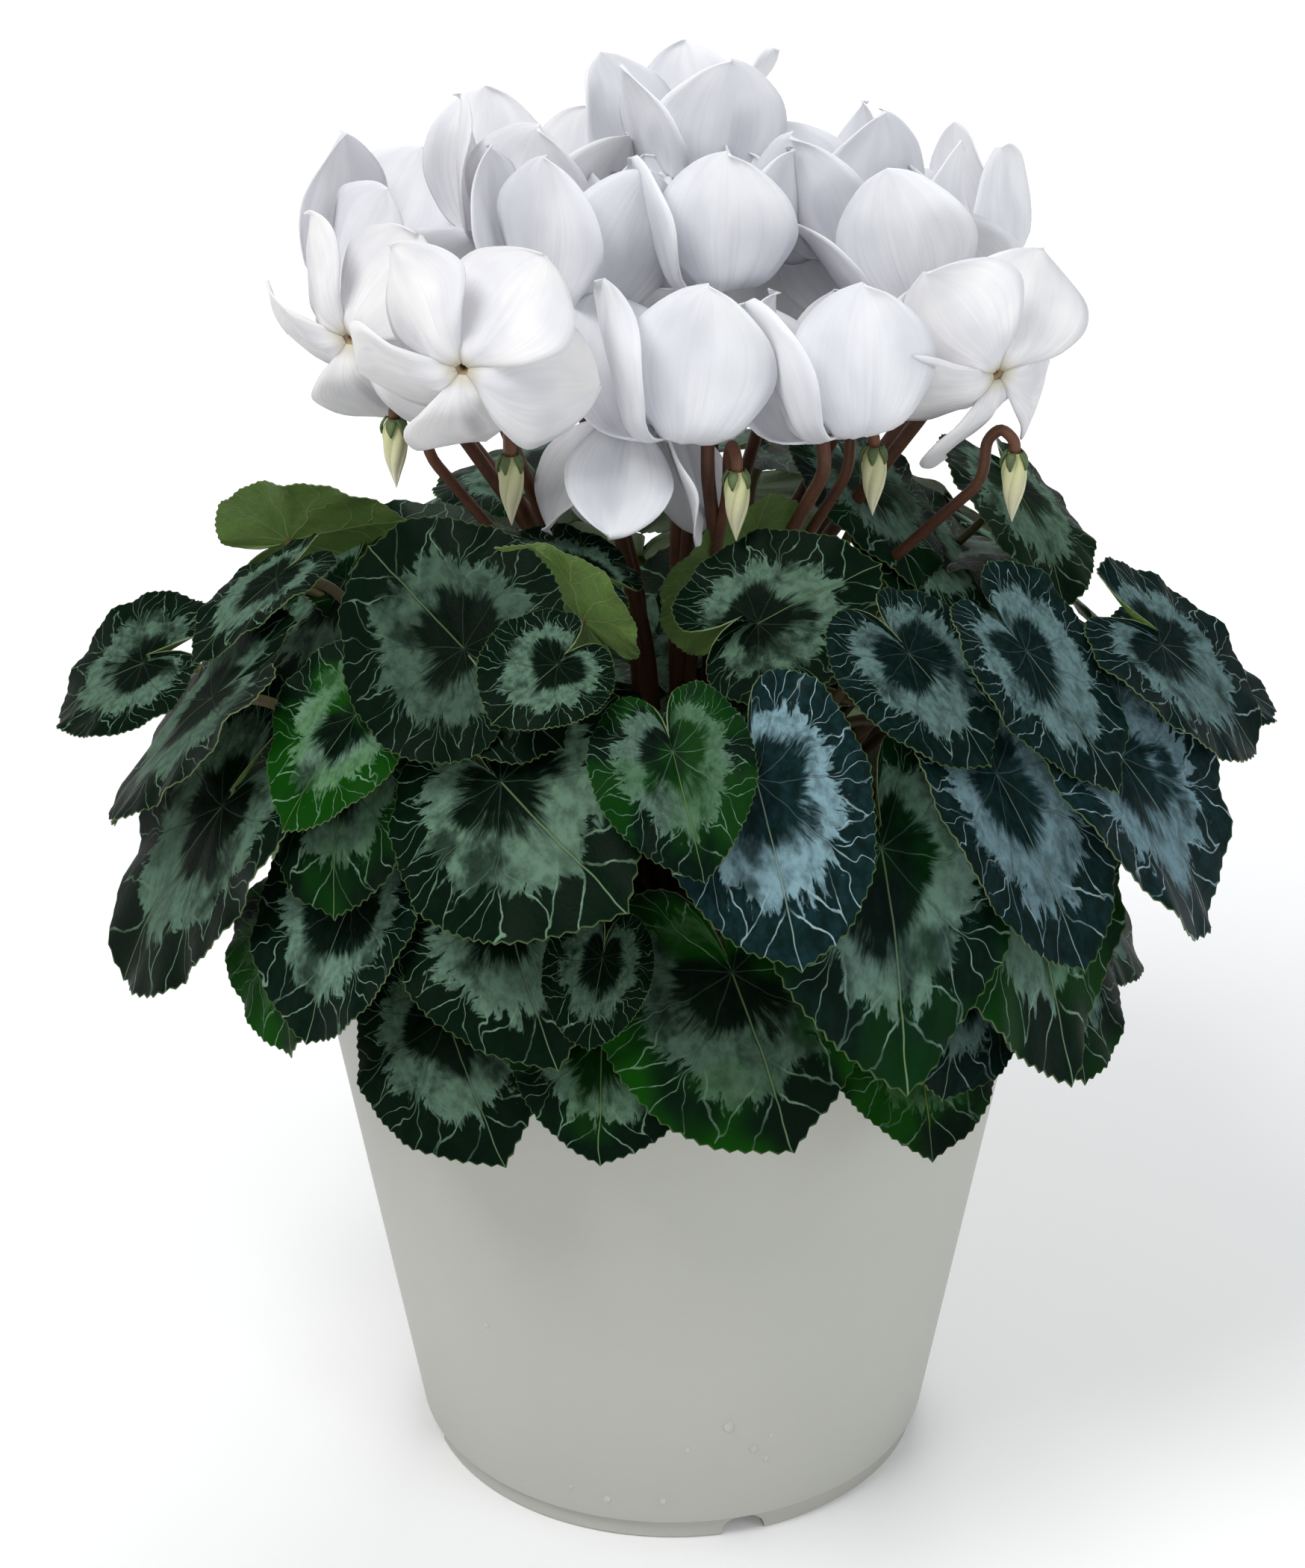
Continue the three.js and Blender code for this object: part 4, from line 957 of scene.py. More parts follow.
class Value:
    """What a node gives over a surface. Numbers among them are worked with in plain sums."""

    def __init__(self, m, socket):
        self.m = m
        self.socket = socket

    def __add__(self, other):
        return self.m.math("ADD", self, other)

    def __sub__(self, other):
        return self.m.math("SUBTRACT", self, other)

    def __mul__(self, other):
        return self.m.math("MULTIPLY", self, other)

    def __abs__(self):
        return self.m.math("ABSOLUTE", self)


class Material:
    """A material under construction, with short calls for its nodes."""

    def __init__(self, name):
        self.made = bpy.data.materials.new(name)
        self.made.use_nodes = True
        self.tree = self.made.node_tree
        self.shader = self.tree.nodes["Principled BSDF"]

    def link(self, value, socket):
        if isinstance(value, Value):
            self.tree.links.new(value.socket, socket)
        else:
            socket.default_value = value

    def node(self, kind, inputs, output, **settings):
        """One output of a new node. Its inputs are given by name or number."""
        made = self.tree.nodes.new("ShaderNode" + kind)
        for key, value in settings.items():
            setattr(made, key, value)
        for key, value in inputs.items():
            self.link(value, made.inputs[key])
        return Value(self, made.outputs[output])

    def math(self, operation, *values):
        return self.node("Math", dict(enumerate(values)), 0, operation=operation)

    def step(self, value, low, high, start=0.0, end=1.0):
        """A smooth step from `start` where value is low to `end` where it is high."""
        inputs = dict(enumerate([value, low, high, start, end]))
        return self.node("MapRange", inputs, 0, interpolation_type="SMOOTHSTEP")

    def mix(self, factor, a, b):
        return self.node("Mix", {0: factor, 6: a, 7: b}, 2, data_type="RGBA")

    def noise(self, vector, scale, detail=2.0, rough=0.5):
        inputs = {"Vector": vector, "Scale": scale, "Detail": detail, "Roughness": rough}
        return self.node("TexNoise", inputs, "Fac")

    def cells(self, vector, scale, feature="DISTANCE_TO_EDGE"):
        return self.node("TexVoronoi", {"Vector": vector, "Scale": scale}, "Distance", feature=feature)

    def vector(self, x, y, z):
        return self.node("CombineXYZ", {0: x, 1: y, 2: z}, 0)

    def parts(self, vector):
        made = self.tree.nodes.new("ShaderNodeSeparateXYZ")
        self.link(vector, made.inputs[0])
        return [Value(self, output) for output in made.outputs]

    def own(self):
        """The piece's own coordinates."""
        return self.parts(self.node("UVMap", {}, 0, uv_map="own"))[:2]

    def fact(self, name):
        return self.node("Attribute", {}, "Fac", attribute_name=name)

    def position(self):
        return self.node("TexCoord", {}, "Object")

    def done(self, colour, rough, bump=None, **more):
        """The material: bump is (height, strength, metres), and more names the shader's inputs."""
        if bump:
            inputs = dict(zip(["Height", "Strength", "Distance"], bump))
            self.link(self.node("Bump", inputs, 0), self.shader.inputs["Normal"])
        for key, value in {"Base_Color": colour, "Roughness": rough, **more}.items():
            self.link(value, self.shader.inputs[key.replace("_", " ")])
        return self.made


LEAF_DARK = srgb(4, 20, 10)
LEAF_HEART = srgb(2, 11, 5)
LEAF_MOTTLE = srgb(8, 32, 14)
LEAF_SILVER = srgb(108, 140, 118)
# Painted bluish sheen: leaf colours that stand in for the reflection of a cool light
LEAF_PAINTED_SHEEN = srgb(122, 152, 166)
LEAF_PAINTED_SHEEN_DARK = srgb(10, 28, 26)
LEAF_PAINTED_SHEEN_MOTTLE = srgb(30, 60, 70)
# Painted light shining through the blade: a bright saturated green, and its silver zone
LEAF_PAINTED_THROUGH_LIGHT = srgb(14, 70, 3)
LEAF_PAINTED_THROUGH_LIGHT_SILVER = srgb(72, 122, 48)
LEAF_VEIN = srgb(116, 148, 122)
# Painted bluish sheen on the pale veins
LEAF_PAINTED_SHEEN_VEIN = srgb(158, 180, 190)
LEAF_MARGIN = srgb(80, 104, 60)
LEAF_MIDRIB = srgb(118, 140, 34)

# The forks of a leaf's veins: where along it they start and end, how far they bend off, their width
VEIN_FORKS = [(0.36, 0.95, 0.5, 0.024), (0.60, 1.02, 0.28, 0.019)]


def leaf_coordinates(m):
    """Share from the stem to the edge, angle in vein steps, distance to the nearest vein, flat place."""
    x, y = m.own()
    seed = m.fact("seed")
    flat = m.vector(x, y, seed * 7.0)
    share = m.math("SQRT", x * x + y * y)
    angle = m.math("ARCTAN2", y, x)
    straight = m.step(abs(angle), 0.0, 0.5, 0.1, 0.55)
    sway = (m.noise(flat, 3.2) - 0.5) * straight + m.math("SINE", angle) * (share * -0.42)
    turns = angle * (VEINS / (2 * math.pi)) + sway
    gap = m.math("PINGPONG", turns, 0.5)
    return share, turns, gap, flat, seed


def vein_line(m, distance, width):
    """1 on a vein's line, 0 beyond its width."""
    return m.step(distance, width * 0.35, width, 1.0, 0.0)


def leaf_veins(m, share, gap, flat):
    """Main veins that fan out from the stem and their forks, which arch between them."""
    main = vein_line(m, gap * share, share * -0.006 + 0.0125)
    ragged = m.noise(flat, 26.0, 3.0, 0.7)
    forks = []
    for start, end, late, thin in VEIN_FORKS:
        spread = m.step(share, start, end) * late + (m.noise(flat, 5.0) - 0.5) * 0.11
        line = vein_line(m, abs(gap - spread) * share, ragged * thin)
        forks.append(line * m.step(share, start + 0.05, start + 0.15))
    return main, m.math("MAXIMUM", *forks)


def silver_ring(m, share, turns, gap, flat, seed):
    """The silver zone: soft within, with flames on its outer edge, broken by the main veins."""
    flame = m.noise(m.vector(turns * 2.6, share * 1.3, seed), 3.0, 4.0, 0.66)
    outer = gap * 0.16 + (flame * 0.62 + 0.34)
    inner = (flame - 0.5) * 0.35 + (m.noise(flat, 1.9) * 0.75 + 0.02)
    inside = m.step(share, inner - 0.05, inner + 0.10)
    outside = m.step(share, outer - 0.02, outer + 0.035, 1.0, 0.0)
    broken = m.step(gap * share, 0.004, 0.03, 0.6, 1.0)
    patch = m.step(m.noise(flat, 2.3, 4.0, 0.6), 0.34, 0.50, 0.2, 1.0)
    return inside * outside * (broken * patch) * m.fact("silver")


def leaf_top_material():
    m = Material("leaf_top")
    share, turns, gap, flat, seed = leaf_coordinates(m)
    main, fork = leaf_veins(m, share, gap, flat)
    ring = silver_ring(m, share, turns, gap, flat, seed)
    # Painted bluish sheen, by leaf: it tints the dark, mottled, silver and vein colours
    cool = m.fact("cool")
    # Painted light shining through the blade, in soft patches; it also brightens the veins and midrib
    glow = m.fact("glow") * m.step(m.noise(flat, 1.4), 0.40, 0.58)
    mottle = m.noise(flat, 11.0, 4.0, 0.65)
    dark = m.mix(m.step(share, 0.1, 0.75), LEAF_HEART, LEAF_DARK)
    dark = m.mix(cool, dark, LEAF_PAINTED_SHEEN_DARK)
    dark = m.mix(m.step(mottle, 0.35, 0.75, 0.0, 0.5), dark, m.mix(cool, LEAF_MOTTLE, LEAF_PAINTED_SHEEN_MOTTLE))
    dark = m.mix(glow, dark, LEAF_PAINTED_THROUGH_LIGHT)
    silver = m.mix(cool, LEAF_SILVER, LEAF_PAINTED_SHEEN)
    silver = m.mix(glow * 0.6, silver, LEAF_PAINTED_THROUGH_LIGHT_SILVER)
    silver = m.mix(m.step(mottle, 0.3, 0.65, 0.5, 0.0), silver, dark)
    pale = m.mix(cool, LEAF_VEIN, LEAF_PAINTED_SHEEN_VEIN)
    middle = main * m.step(abs(turns), 0.3, 0.6, 1.0, 0.0)
    thin = m.math("MAXIMUM", main * m.step(share, 0.35, 0.9, 0.10, 0.7), middle * 0.4)
    thin = m.math("MAXIMUM", thin, main * (glow * 0.9))
    zone = m.step(share, 0.52, 0.80, 0.12, 1.0)
    patchy = m.step(m.noise(flat, 5.0), 0.35, 0.62, 0.25, 1.0)
    colour = m.mix(ring, dark, silver)
    colour = m.mix(thin, colour, pale)
    colour = m.mix(middle * (glow * 0.7 + 0.2), colour, LEAF_MIDRIB)
    colour = m.mix(fork * zone * patchy * 0.85, colour, pale)
    colour = m.mix(m.step(share, 0.988, 0.998, 0.0, 0.7), colour, LEAF_MARGIN)
    colour = m.mix(m.math("FRACT", seed * 3.7) * 0.4, colour, LEAF_HEART)
    relief = mottle * 0.5 + m.noise(flat, 46.0, 2.0) * 0.35 - main * 0.9
    rough = mottle * 0.25 + (ring * 0.12 + 0.34)
    return m.done(colour, rough, (relief, 0.55, 0.0005), Specular_IOR_Level=0.03)


def leaf_under_material():
    m = Material("leaf_under")
    share, _, gap, flat, _ = leaf_coordinates(m)
    main, fork = leaf_veins(m, share, gap, flat)
    net = m.step(m.cells(flat, 9.0), 0.0, 0.05, 1.0, 0.0)
    mottle = m.noise(flat, 7.0, 4.0, 0.6)
    colour = m.mix(mottle, srgb(54, 92, 34), srgb(98, 136, 54))
    colour = m.mix(m.noise(flat, 2.0) * 0.16, colour, srgb(120, 80, 66))
    colour = m.mix(main * 0.7, colour, srgb(150, 160, 100))
    colour = m.mix(fork * 0.4, colour, srgb(140, 156, 92))
    colour = m.mix(net * 0.18, colour, srgb(140, 156, 92))
    relief = main + (fork * 0.6 + mottle * 0.4)
    return m.done(colour, mottle * 0.2 + 0.5, (relief, 0.5, 0.0006))


def leaf_rim_material():
    m = Material("leaf_rim")
    bead = m.noise(m.position(), 900.0, 2.0)
    return m.done(m.mix(bead, srgb(48, 66, 32), srgb(116, 132, 82)), bead * 0.3 + 0.4)


def stem_material(name, low, high, dark):
    """Skin of a stem: its colour runs along it, under dark clouds and specks."""
    m = Material(name)
    along_it, _ = m.own()
    speck = m.noise(m.position(), 800.0, 3.0, 0.7)
    cloud = m.noise(m.position(), 55.0, 3.0, 0.6)
    colour = m.mix(m.step(along_it, 0.2, 1.0), low, high)
    colour = m.mix(m.step(cloud, 0.35, 0.7) * 0.5, colour, dark)
    colour = m.mix(m.step(speck, 0.5, 0.75) * 0.45, colour, dark)
    return m.done(colour, speck * 0.25 + 0.42, (speck + cloud, 0.35, 0.0003))


PETAL_WHITE = srgb(238, 239, 243)
PETAL_SHADE = srgb(196, 197, 207)
PETAL_WARM = srgb(234, 230, 226)
PETAL_BASE = srgb(206, 196, 172)
# Painted grey shadow down the middle of the petals
PETAL_MIDDLE_SHADOW = srgb(150, 146, 156)


def petal_material():
    """White petals: lengthwise streaks that fan out, a creamy root and a painted grey shadow down the middle,
    the stem's shadow on the lower petals.
    """
    m = Material("petal")
    across, share = m.own()
    seed = m.fact("seed")
    streak = m.noise(m.vector(across * 17.0, share * 0.9, seed), 1.0, 4.0, 0.6)
    broad = m.noise(m.vector(across * 0.8, share, seed), 1.7, 2.0)
    fading = m.step(share, 0.15, 0.95, 0.85, 0.15)
    # Painted shadow down the middle of a petal: strong where the stem passes behind a lower petal, faint
    # elsewhere
    middle = m.step(share, 0.1, 0.4) * m.step(share, 0.55, 0.95, 1.0, 0.0)
    crease = m.step(abs(across), 0.02, 0.20, 1.0, 0.0) * middle
    white = m.mix(m.fact("warm"), PETAL_WHITE, PETAL_WARM)
    colour = m.mix(m.step(broad, 0.3, 0.7, 0.6, 0.0), white, PETAL_SHADE)
    colour = m.mix(m.step(streak, 0.42, 0.72) * (fading * 0.42), colour, PETAL_SHADE)
    colour = m.mix(crease * m.fact("crease"), colour, PETAL_MIDDLE_SHADOW)
    colour = m.mix(m.step(share, PETAL_START, 0.09, 0.9, 0.0), colour, PETAL_BASE)
    bump = (streak * 0.7 + broad * 0.6, 0.3, 0.0005)
    soft = {"Subsurface_Weight": 0.35, "Subsurface_Scale": 0.004, "Subsurface_Radius": (1.0, 0.95, 0.95)}
    return m.done(colour, streak * 0.2 + 0.5, bump, Specular_IOR_Level=0.3, **soft)


def throat_material():
    """The flower's tube: white, cream at the mouth and dark in the throat."""
    m = Material("flower_tube")
    inner, height = m.own()
    grain = m.noise(m.position(), 500.0, 3.0)
    colour = m.mix(grain, srgb(214, 211, 202), srgb(228, 226, 224))
    colour = m.mix(m.step(height, 0.45, 1.0), colour, srgb(180, 190, 146))
    colour = m.mix(m.step(inner, 0.3, 0.7), colour, srgb(176, 152, 112))
    colour = m.mix(m.step(inner, 0.72, 0.84), colour, srgb(60, 38, 22))
    return m.done(colour, grain * 0.2 + 0.5, (grain, 0.3, 0.0003))


def calyx_material():
    m = Material("calyx")
    grain = m.noise(m.position(), 700.0, 4.0, 0.7)
    colour = m.mix(m.noise(m.position(), 120.0, 2.0), srgb(56, 88, 44), srgb(104, 122, 74))
    colour = m.mix(m.step(grain, 0.45, 0.7) * 0.6, colour, srgb(92, 62, 48))
    return m.done(colour, grain * 0.25 + 0.45, (grain, 0.4, 0.0003))


def bud_material():
    """Furled petals: cream, greener towards the calyx, with the twist's shaded lines."""
    m = Material("bud")
    fold, share = m.own()
    grain = m.noise(m.position(), 420.0, 3.0)
    colour = m.mix(share, srgb(178, 184, 120), srgb(238, 232, 206))
    colour = m.mix(m.step(fold, 0.55, 1.0) * 0.55, colour, srgb(158, 156, 108))
    colour = m.mix(grain * 0.3, colour, srgb(200, 196, 150))
    return m.done(colour, grain * 0.2 + 0.42, (grain, 0.3, 0.0003))


def tuber_material():
    m = Material("tuber_bark")
    cork = m.noise(m.position(), 160.0, 5.0, 0.7)
    crack = m.step(m.cells(m.position(), 120.0), 0.0, 0.12, 1.0, 0.0)
    colour = m.mix(cork, srgb(46, 32, 22), srgb(112, 86, 62))
    colour = m.mix(crack * 0.7, colour, srgb(26, 18, 12))
    return m.done(colour, cork * 0.2 + 0.72, (cork - crack, 0.8, 0.0012))


def soil_material():
    """Moist peat with paler crumbs of fibre and perlite."""
    m = Material("peat")
    crumb = m.noise(m.position(), 260.0, 6.0, 0.75)
    fibre = m.noise(m.position(), 900.0, 3.0, 0.6)
    grit = m.step(m.cells(m.position(), 190.0, "F1"), 0.10, 0.16, 1.0, 0.0)
    rare = m.step(m.noise(m.position(), 90.0), 0.60, 0.66)
    colour = m.mix(crumb, srgb(18, 12, 8), srgb(72, 50, 34))
    colour = m.mix(m.step(fibre, 0.55, 0.72, 0.0, 0.5), colour, srgb(98, 72, 48))
    colour = m.mix(grit * rare, colour, srgb(168, 160, 146))
    return m.done(colour, crumb * 0.15 + 0.8, (fibre * 0.4 + crumb, 1.0, 0.0020))


def pot_material():
    """Pale grey moulded plastic: faint clouds and flow lines, fine specks and a dull sheen."""
    m = Material("pot_plastic")
    at = m.position()
    x, y, z = m.parts(at)
    cloud = m.noise(at, 14.0, 3.0, 0.55)
    drawn = m.noise(m.vector(x * 30.0, y * 30.0, z * 4.0), 1.0, 3.0)
    grain = m.noise(at, 1600.0, 2.0)
    speck = m.step(m.cells(at, 62.0, "F1"), 0.010, 0.020, 1.0, 0.0)
    colour = m.mix(cloud, srgb(180, 180, 172), srgb(190, 190, 183))
    colour = m.mix(drawn * 0.18, colour, srgb(168, 168, 159))
    colour = m.mix(speck * 0.5, colour, srgb(120, 116, 104))
    # Painted shade: the foot is darker towards the floor
    colour = m.mix(m.step(z, 0.0, 0.012, 0.25, 0.0), colour, srgb(150, 148, 138))
    rough = cloud * 0.16 + (grain * 0.08 + 0.40)
    return m.done(colour, rough, (grain * 0.5 + cloud, 0.12, 0.0004))


def water_material():
    m = Material("water")
    swirl = m.noise(m.position(), 300.0, 2.0)
    colour = m.mix(swirl, srgb(168, 169, 163), srgb(196, 197, 192))
    return m.done(colour, swirl * 0.08, IOR=1.33, Coat_Weight=0.6)


def floor_material():
    """Pale floor whose own light takes over from the lamps with the distance."""
    m = Material("floor")
    cloud = m.noise(m.position(), 2.0, 2.0)
    colour = m.mix(cloud, (0.86, 0.86, 0.86, 1.0), (0.89, 0.89, 0.89, 1.0))
    x, y, _ = m.parts(m.position())
    far = m.step(m.math("SQRT", x * x + y * y), *FLOOR_GLOW)
    shine = m.node("VectorMath", {0: (1, 1, 1), "Scale": far}, 0, operation="SCALE")
    return m.done(colour, 0.85, Emission_Color=shine, Emission_Strength=1.0)


# Pieces


def wall_radius(z):
    return FOOT_RADIUS + (RIM_RADIUS - FOOT_RADIUS) * z / POT_HEIGHT


def pot_profile():
    wall = wall_radius(POT_HEIGHT)
    inside = wall - POT_WALL
    lip = wall + LIP_WIDTH
    under_lip = POT_HEIGHT - LIP_HEIGHT
    neck = wall_radius(under_lip)
    foot = FOOT_RADIUS - FOOT_STEP
    hollow = FOOT_RADIUS - FOOT_RING
    well = wall_radius(FLOOR_TOP) - POT_WALL
    return [
        [0, FOOT_HEIGHT], [hollow - 1, FOOT_HEIGHT], [hollow - 0.2, FOOT_HEIGHT - 0.6],
        [hollow, FOOT_HEIGHT - 1.4], [hollow, 0.8], [hollow + 0.6, 0], [foot - 0.8, 0], [foot, 0.8],
        [foot, FOOT_HEIGHT - 0.4], [foot + 0.3, FOOT_HEIGHT],
        [wall_radius(FOOT_HEIGHT) - 0.3, FOOT_HEIGHT + 0.2], [wall_radius(FOOT_HEIGHT + 1), FOOT_HEIGHT + 1],
        [wall_radius(60), 60], [wall_radius(120), 120], [neck, under_lip], [neck + 0.7, under_lip + 0.2],
        [lip - 0.6, under_lip + 0.8], [lip, under_lip + 1.6], [lip, POT_HEIGHT - 1.6],
        [lip - 0.6, POT_HEIGHT - 0.7], [lip - 1.6, POT_HEIGHT - 0.2], [wall + 1, POT_HEIGHT],
        [inside + 0.4, POT_HEIGHT], [inside, POT_HEIGHT - 0.4], [wall_radius(90) - POT_WALL, 90],
        [well, FLOOR_TOP + 1.2], [well - 1.2, FLOOR_TOP], [0, FLOOR_TOP],
    ]


def cutters():
    """The arches of the foot's drain notches and the drain holes, as one cutting body."""
    piece = Piece("cutter")
    for k in range(NOTCH_COUNT):
        turn = NOTCH_TURN + 360 * k / NOTCH_COUNT
        out, across = outwards(turn), outwards(turn + 90)
        arch = [[-NOTCH_WIDTH / 2, -2], [NOTCH_WIDTH / 2, -2]]
        for a in np.linspace(0, math.pi, NOTCH_STEPS):
            arch.append([NOTCH_WIDTH / 2 * math.cos(a), 1 + (FOOT_HEIGHT - 2) * math.sin(a)])
        arch = np.array(arch)
        depths = [FOOT_RADIUS + 1.5 * FOOT_RING, FOOT_RADIUS - 1.5 * FOOT_RING]
        rings = [out * depth + arch[:, :1] * across + arch[:, 1:] * UP for depth in depths]
        piece.body(*capped(rings))
        a = 2 * np.pi * np.arange(DRAIN_SIDES) / DRAIN_SIDES
        circle = DRAIN_RADIUS * np.stack([np.cos(a), np.sin(a), 0 * a], axis=1) + out * DRAIN_OUT
        piece.body(*capped([circle + UP * 20, circle - UP * 4]))
    mesh = bpy.data.meshes.new("cutter")
    mesh.from_pydata((np.concatenate(piece.points) * MM).tolist(), [], piece.faces)
    return bpy.data.objects.new("cutter", mesh)


def capped(rings):
    """A prism between two rings, as points and groups of faces."""
    cols = len(rings[0])
    points = np.concatenate(rings + [rings[0].mean(axis=0)[None], rings[1].mean(axis=0)[None]])
    faces = [grid_faces(2, cols, closed=True, flip=True)]
    faces.append(fan_faces(2 * cols, 0, cols, flip=True))
    faces.append(fan_faces(2 * cols + 1, cols, cols))
    return points, faces


def make_pot(material):
    piece = Piece("pot_fine")
    piece.body(*lathe(pot_profile(), POT_SIDES))
    pot = piece.build([material], ["pot"], "pot")
    cutter = cutters()
    bpy.context.scene.collection.objects.link(cutter)
    cut = pot.modifiers.new("cut", "BOOLEAN")
    cut.operation = "DIFFERENCE"
    cut.solver = "EXACT"
    cut.object = cutter
    bpy.context.view_layer.update()
    seen = bpy.context.evaluated_depsgraph_get()
    mesh = bpy.data.meshes.new_from_object(pot.evaluated_get(seen))
    pot.modifiers.clear()
    pot.data = mesh
    bpy.data.objects.remove(cutter)
    mesh.shade_smooth()
    mesh.set_sharp_from_angle(angle=math.radians(POT_SHARP))


def bumps(points, waves, seed):
    """A smooth, repeatable unevenness from a few crossing waves."""
    draw = draws(seed)
    total = np.zeros(len(points))
    for size in waves:
        direction = np.array([draw() - 0.5, draw() - 0.5, draw() - 0.5])
        total += np.sin(points @ unit(direction) * 2 * math.pi / size + draw() * 6.3)
    return total / len(waves)


def make_soil(material):
    edge = wall_radius(SOIL_HEIGHT) - POT_WALL - SOIL_GAP
    foot = wall_radius(FLOOR_TOP) - POT_WALL - SOIL_GAP
    crest = TUBER_RADIUS + 14
    profile = [[0, FLOOR_TOP + SOIL_GAP], [foot - 1, FLOOR_TOP + SOIL_GAP]]
    for k in range(7):
        profile.append([foot + (edge - foot) * k / 6, FLOOR_TOP + 2 + (SOIL_HEIGHT - 3 - FLOOR_TOP) * k / 6])
    for r in np.linspace(edge, crest, 26):
        profile.append([r, SOIL_HEIGHT + 4 * (edge - r) / (edge - crest)])
    for r in np.linspace(TUBER_RADIUS + 12, TUBER_RADIUS + 1.2, 8):
        profile.append([r, SOIL_HEIGHT + 3.4])
    profile += [[TUBER_RADIUS + 0.8, SOIL_HEIGHT - TUBER_DEPTH], [0, SOIL_HEIGHT - TUBER_DEPTH]]
    points, faces = lathe(profile, SOIL_SIDES)
    crumbs = 0.9 * bumps(points, [5.1, 6.7, 9.3, 13.0, 4.2, 3.4], 77)
    crumbs += 0.6 * bumps(points, [2.6, 3.1, 2.9], 78)
    points[:, 2] += crumbs * smooth((points[:, 2] - 150) / 10)
    piece = Piece("soil_fine")
    piece.body(points, faces)
    piece.build([material], ["soil"], "soil")


def make_tuber(material):
    low = SOIL_HEIGHT - TUBER_DEPTH
    profile = [[0, low], [TUBER_RADIUS - 8, low], [TUBER_RADIUS - 3, low + 1.5]]
    profile += [[TUBER_RADIUS - 0.4, low + 6]]
    profile += [[TUBER_RADIUS - 0.3, low + 6 + 2 * k] for k in range(1, 8)]
    profile += [[TUBER_RADIUS - 0.9, SOIL_HEIGHT + 8], [TUBER_RADIUS - 2.4, TUBER_TOP - 4.6]]
    profile += [[TUBER_RADIUS - 4.6, TUBER_TOP - 2.2], [TUBER_RADIUS - 7, TUBER_TOP - 0.7]]
    profile += [[TUBER_RADIUS - 9 - 2.6 * k, TUBER_TOP - 0.25] for k in range(8)]
    profile += [[0, TUBER_TOP - 0.2]]
    points, faces = lathe(profile, TUBER_SIDES)
    lumps = 1.3 * bumps(points, [15.0, 11.0, 19.0, 8.5], 31) + 0.5 * bumps(points, [4.1, 5.3, 3.2], 32)
    radius = np.hypot(points[:, 0], points[:, 1])
    shrink = 1 - np.clip(1.2 + lumps, 0, 3) / np.maximum(radius, 12)
    points[:, :2] *= np.where(points[:, 2] > SOIL_HEIGHT - 14, shrink, 1)[:, None]
    points[:, 2] += 0.5 * lumps * (points[:, 2] > TUBER_TOP - 4)
    piece = Piece("tuber_fine")
    piece.body(points, faces)
    piece.build([material], [], "stem")


# How a front leaf looks: how silver, how much bluish sheen is painted on it and how much painted light shines
# through its green
LEAF_LOOK = {"silver": 0.8, "cool": 0.0, "glow": 0.0}
LOOKS = {
    2: {"glow": 0.35}, 3: {"glow": 1.0, "silver": 0.7}, 4: {"glow": 0.9, "silver": 0.35},
    5: {"cool": 0.2, "glow": 0.4}, 6: {"cool": 0.4}, 7: {"cool": 0.1, "silver": 0.9}, 8: {"silver": 0.85},
    9: {"silver": 0.6}, 10: {"glow": 1.0, "silver": 0.5}, 11: {"cool": 0.15, "glow": 0.4},
    12: {"cool": 0.2, "glow": 0.3, "silver": 0.85}, 14: {"glow": 0.45}, 16: {"cool": 0.8, "silver": 1.0},
    17: {"cool": 0.1, "glow": 0.6}, 18: {"cool": 0.8}, 19: {"cool": 0.85}, 20: {"silver": 0.5},
    21: {"silver": 0.55}, 22: {"glow": 0.7, "silver": 0.9}, 26: {"cool": 0.45}, 27: {"cool": 0.6},
    28: {"cool": 0.55}, 29: {"cool": 0.6}, 31: {"silver": 0.8},
}


def add_blade(piece, leaf, at, look):
    points, groups, uv = fine_blade(leaf, at)
    piece.add(points, groups, uv, {"seed": leaf["phase"], **look})


def add_stem(piece, route, radius, sides, slot, reach=14.0, swell=0.0, thin=0.0):
    """One stem: its foot is thicker, and its far end thinner."""
    path = rounded(route, reach)
    share = np.linspace(0, 1, len(path))
    radii = radius * (1 + swell * np.exp(-share * 9) - thin * share)
    points, faces, uv = tube(path, radii, sides)
    piece.body(points, faces, slot, uv)


def towards(leaf):
    if abs(leaf["root"][0]) > FRONT_TURN:
        return lambda at: at["normal"]
    return lambda at: unit(EYE - at["root"])


def make_front_leaves(materials, stems):
    tree = corners_of("tuber_and_stems")
    for i, leaf in enumerate(front_leaves()):
        name = f"leaf_{i + 1:02d}"
        at = settle_leaf(leaf, towards(leaf), corners_of(name))
        piece = Piece(name + "_fine")
        add_blade(piece, leaf, at, {**LEAF_LOOK, **LOOKS.get(i + 1, {})})
        piece.build(materials, [name], "leaf", LEAF_SHARP)
        ring = LEAF_STEM_RINGS[i % len(LEAF_STEM_RINGS)]
        start = on_tuber(turn_of(at["root"]) * LEAF_STEM_TURN, ring)
        score, route = best_route(leaf_routes(at, start, False), tree, LEAF_STEM_RADIUS, [1, 2, 3])
        report("stem of " + name, score, 12)
        add_stem(stems, [start - UP] + route[1:], LEAF_STEM_RADIUS, STEM_SIDES, 0, swell=0.35)


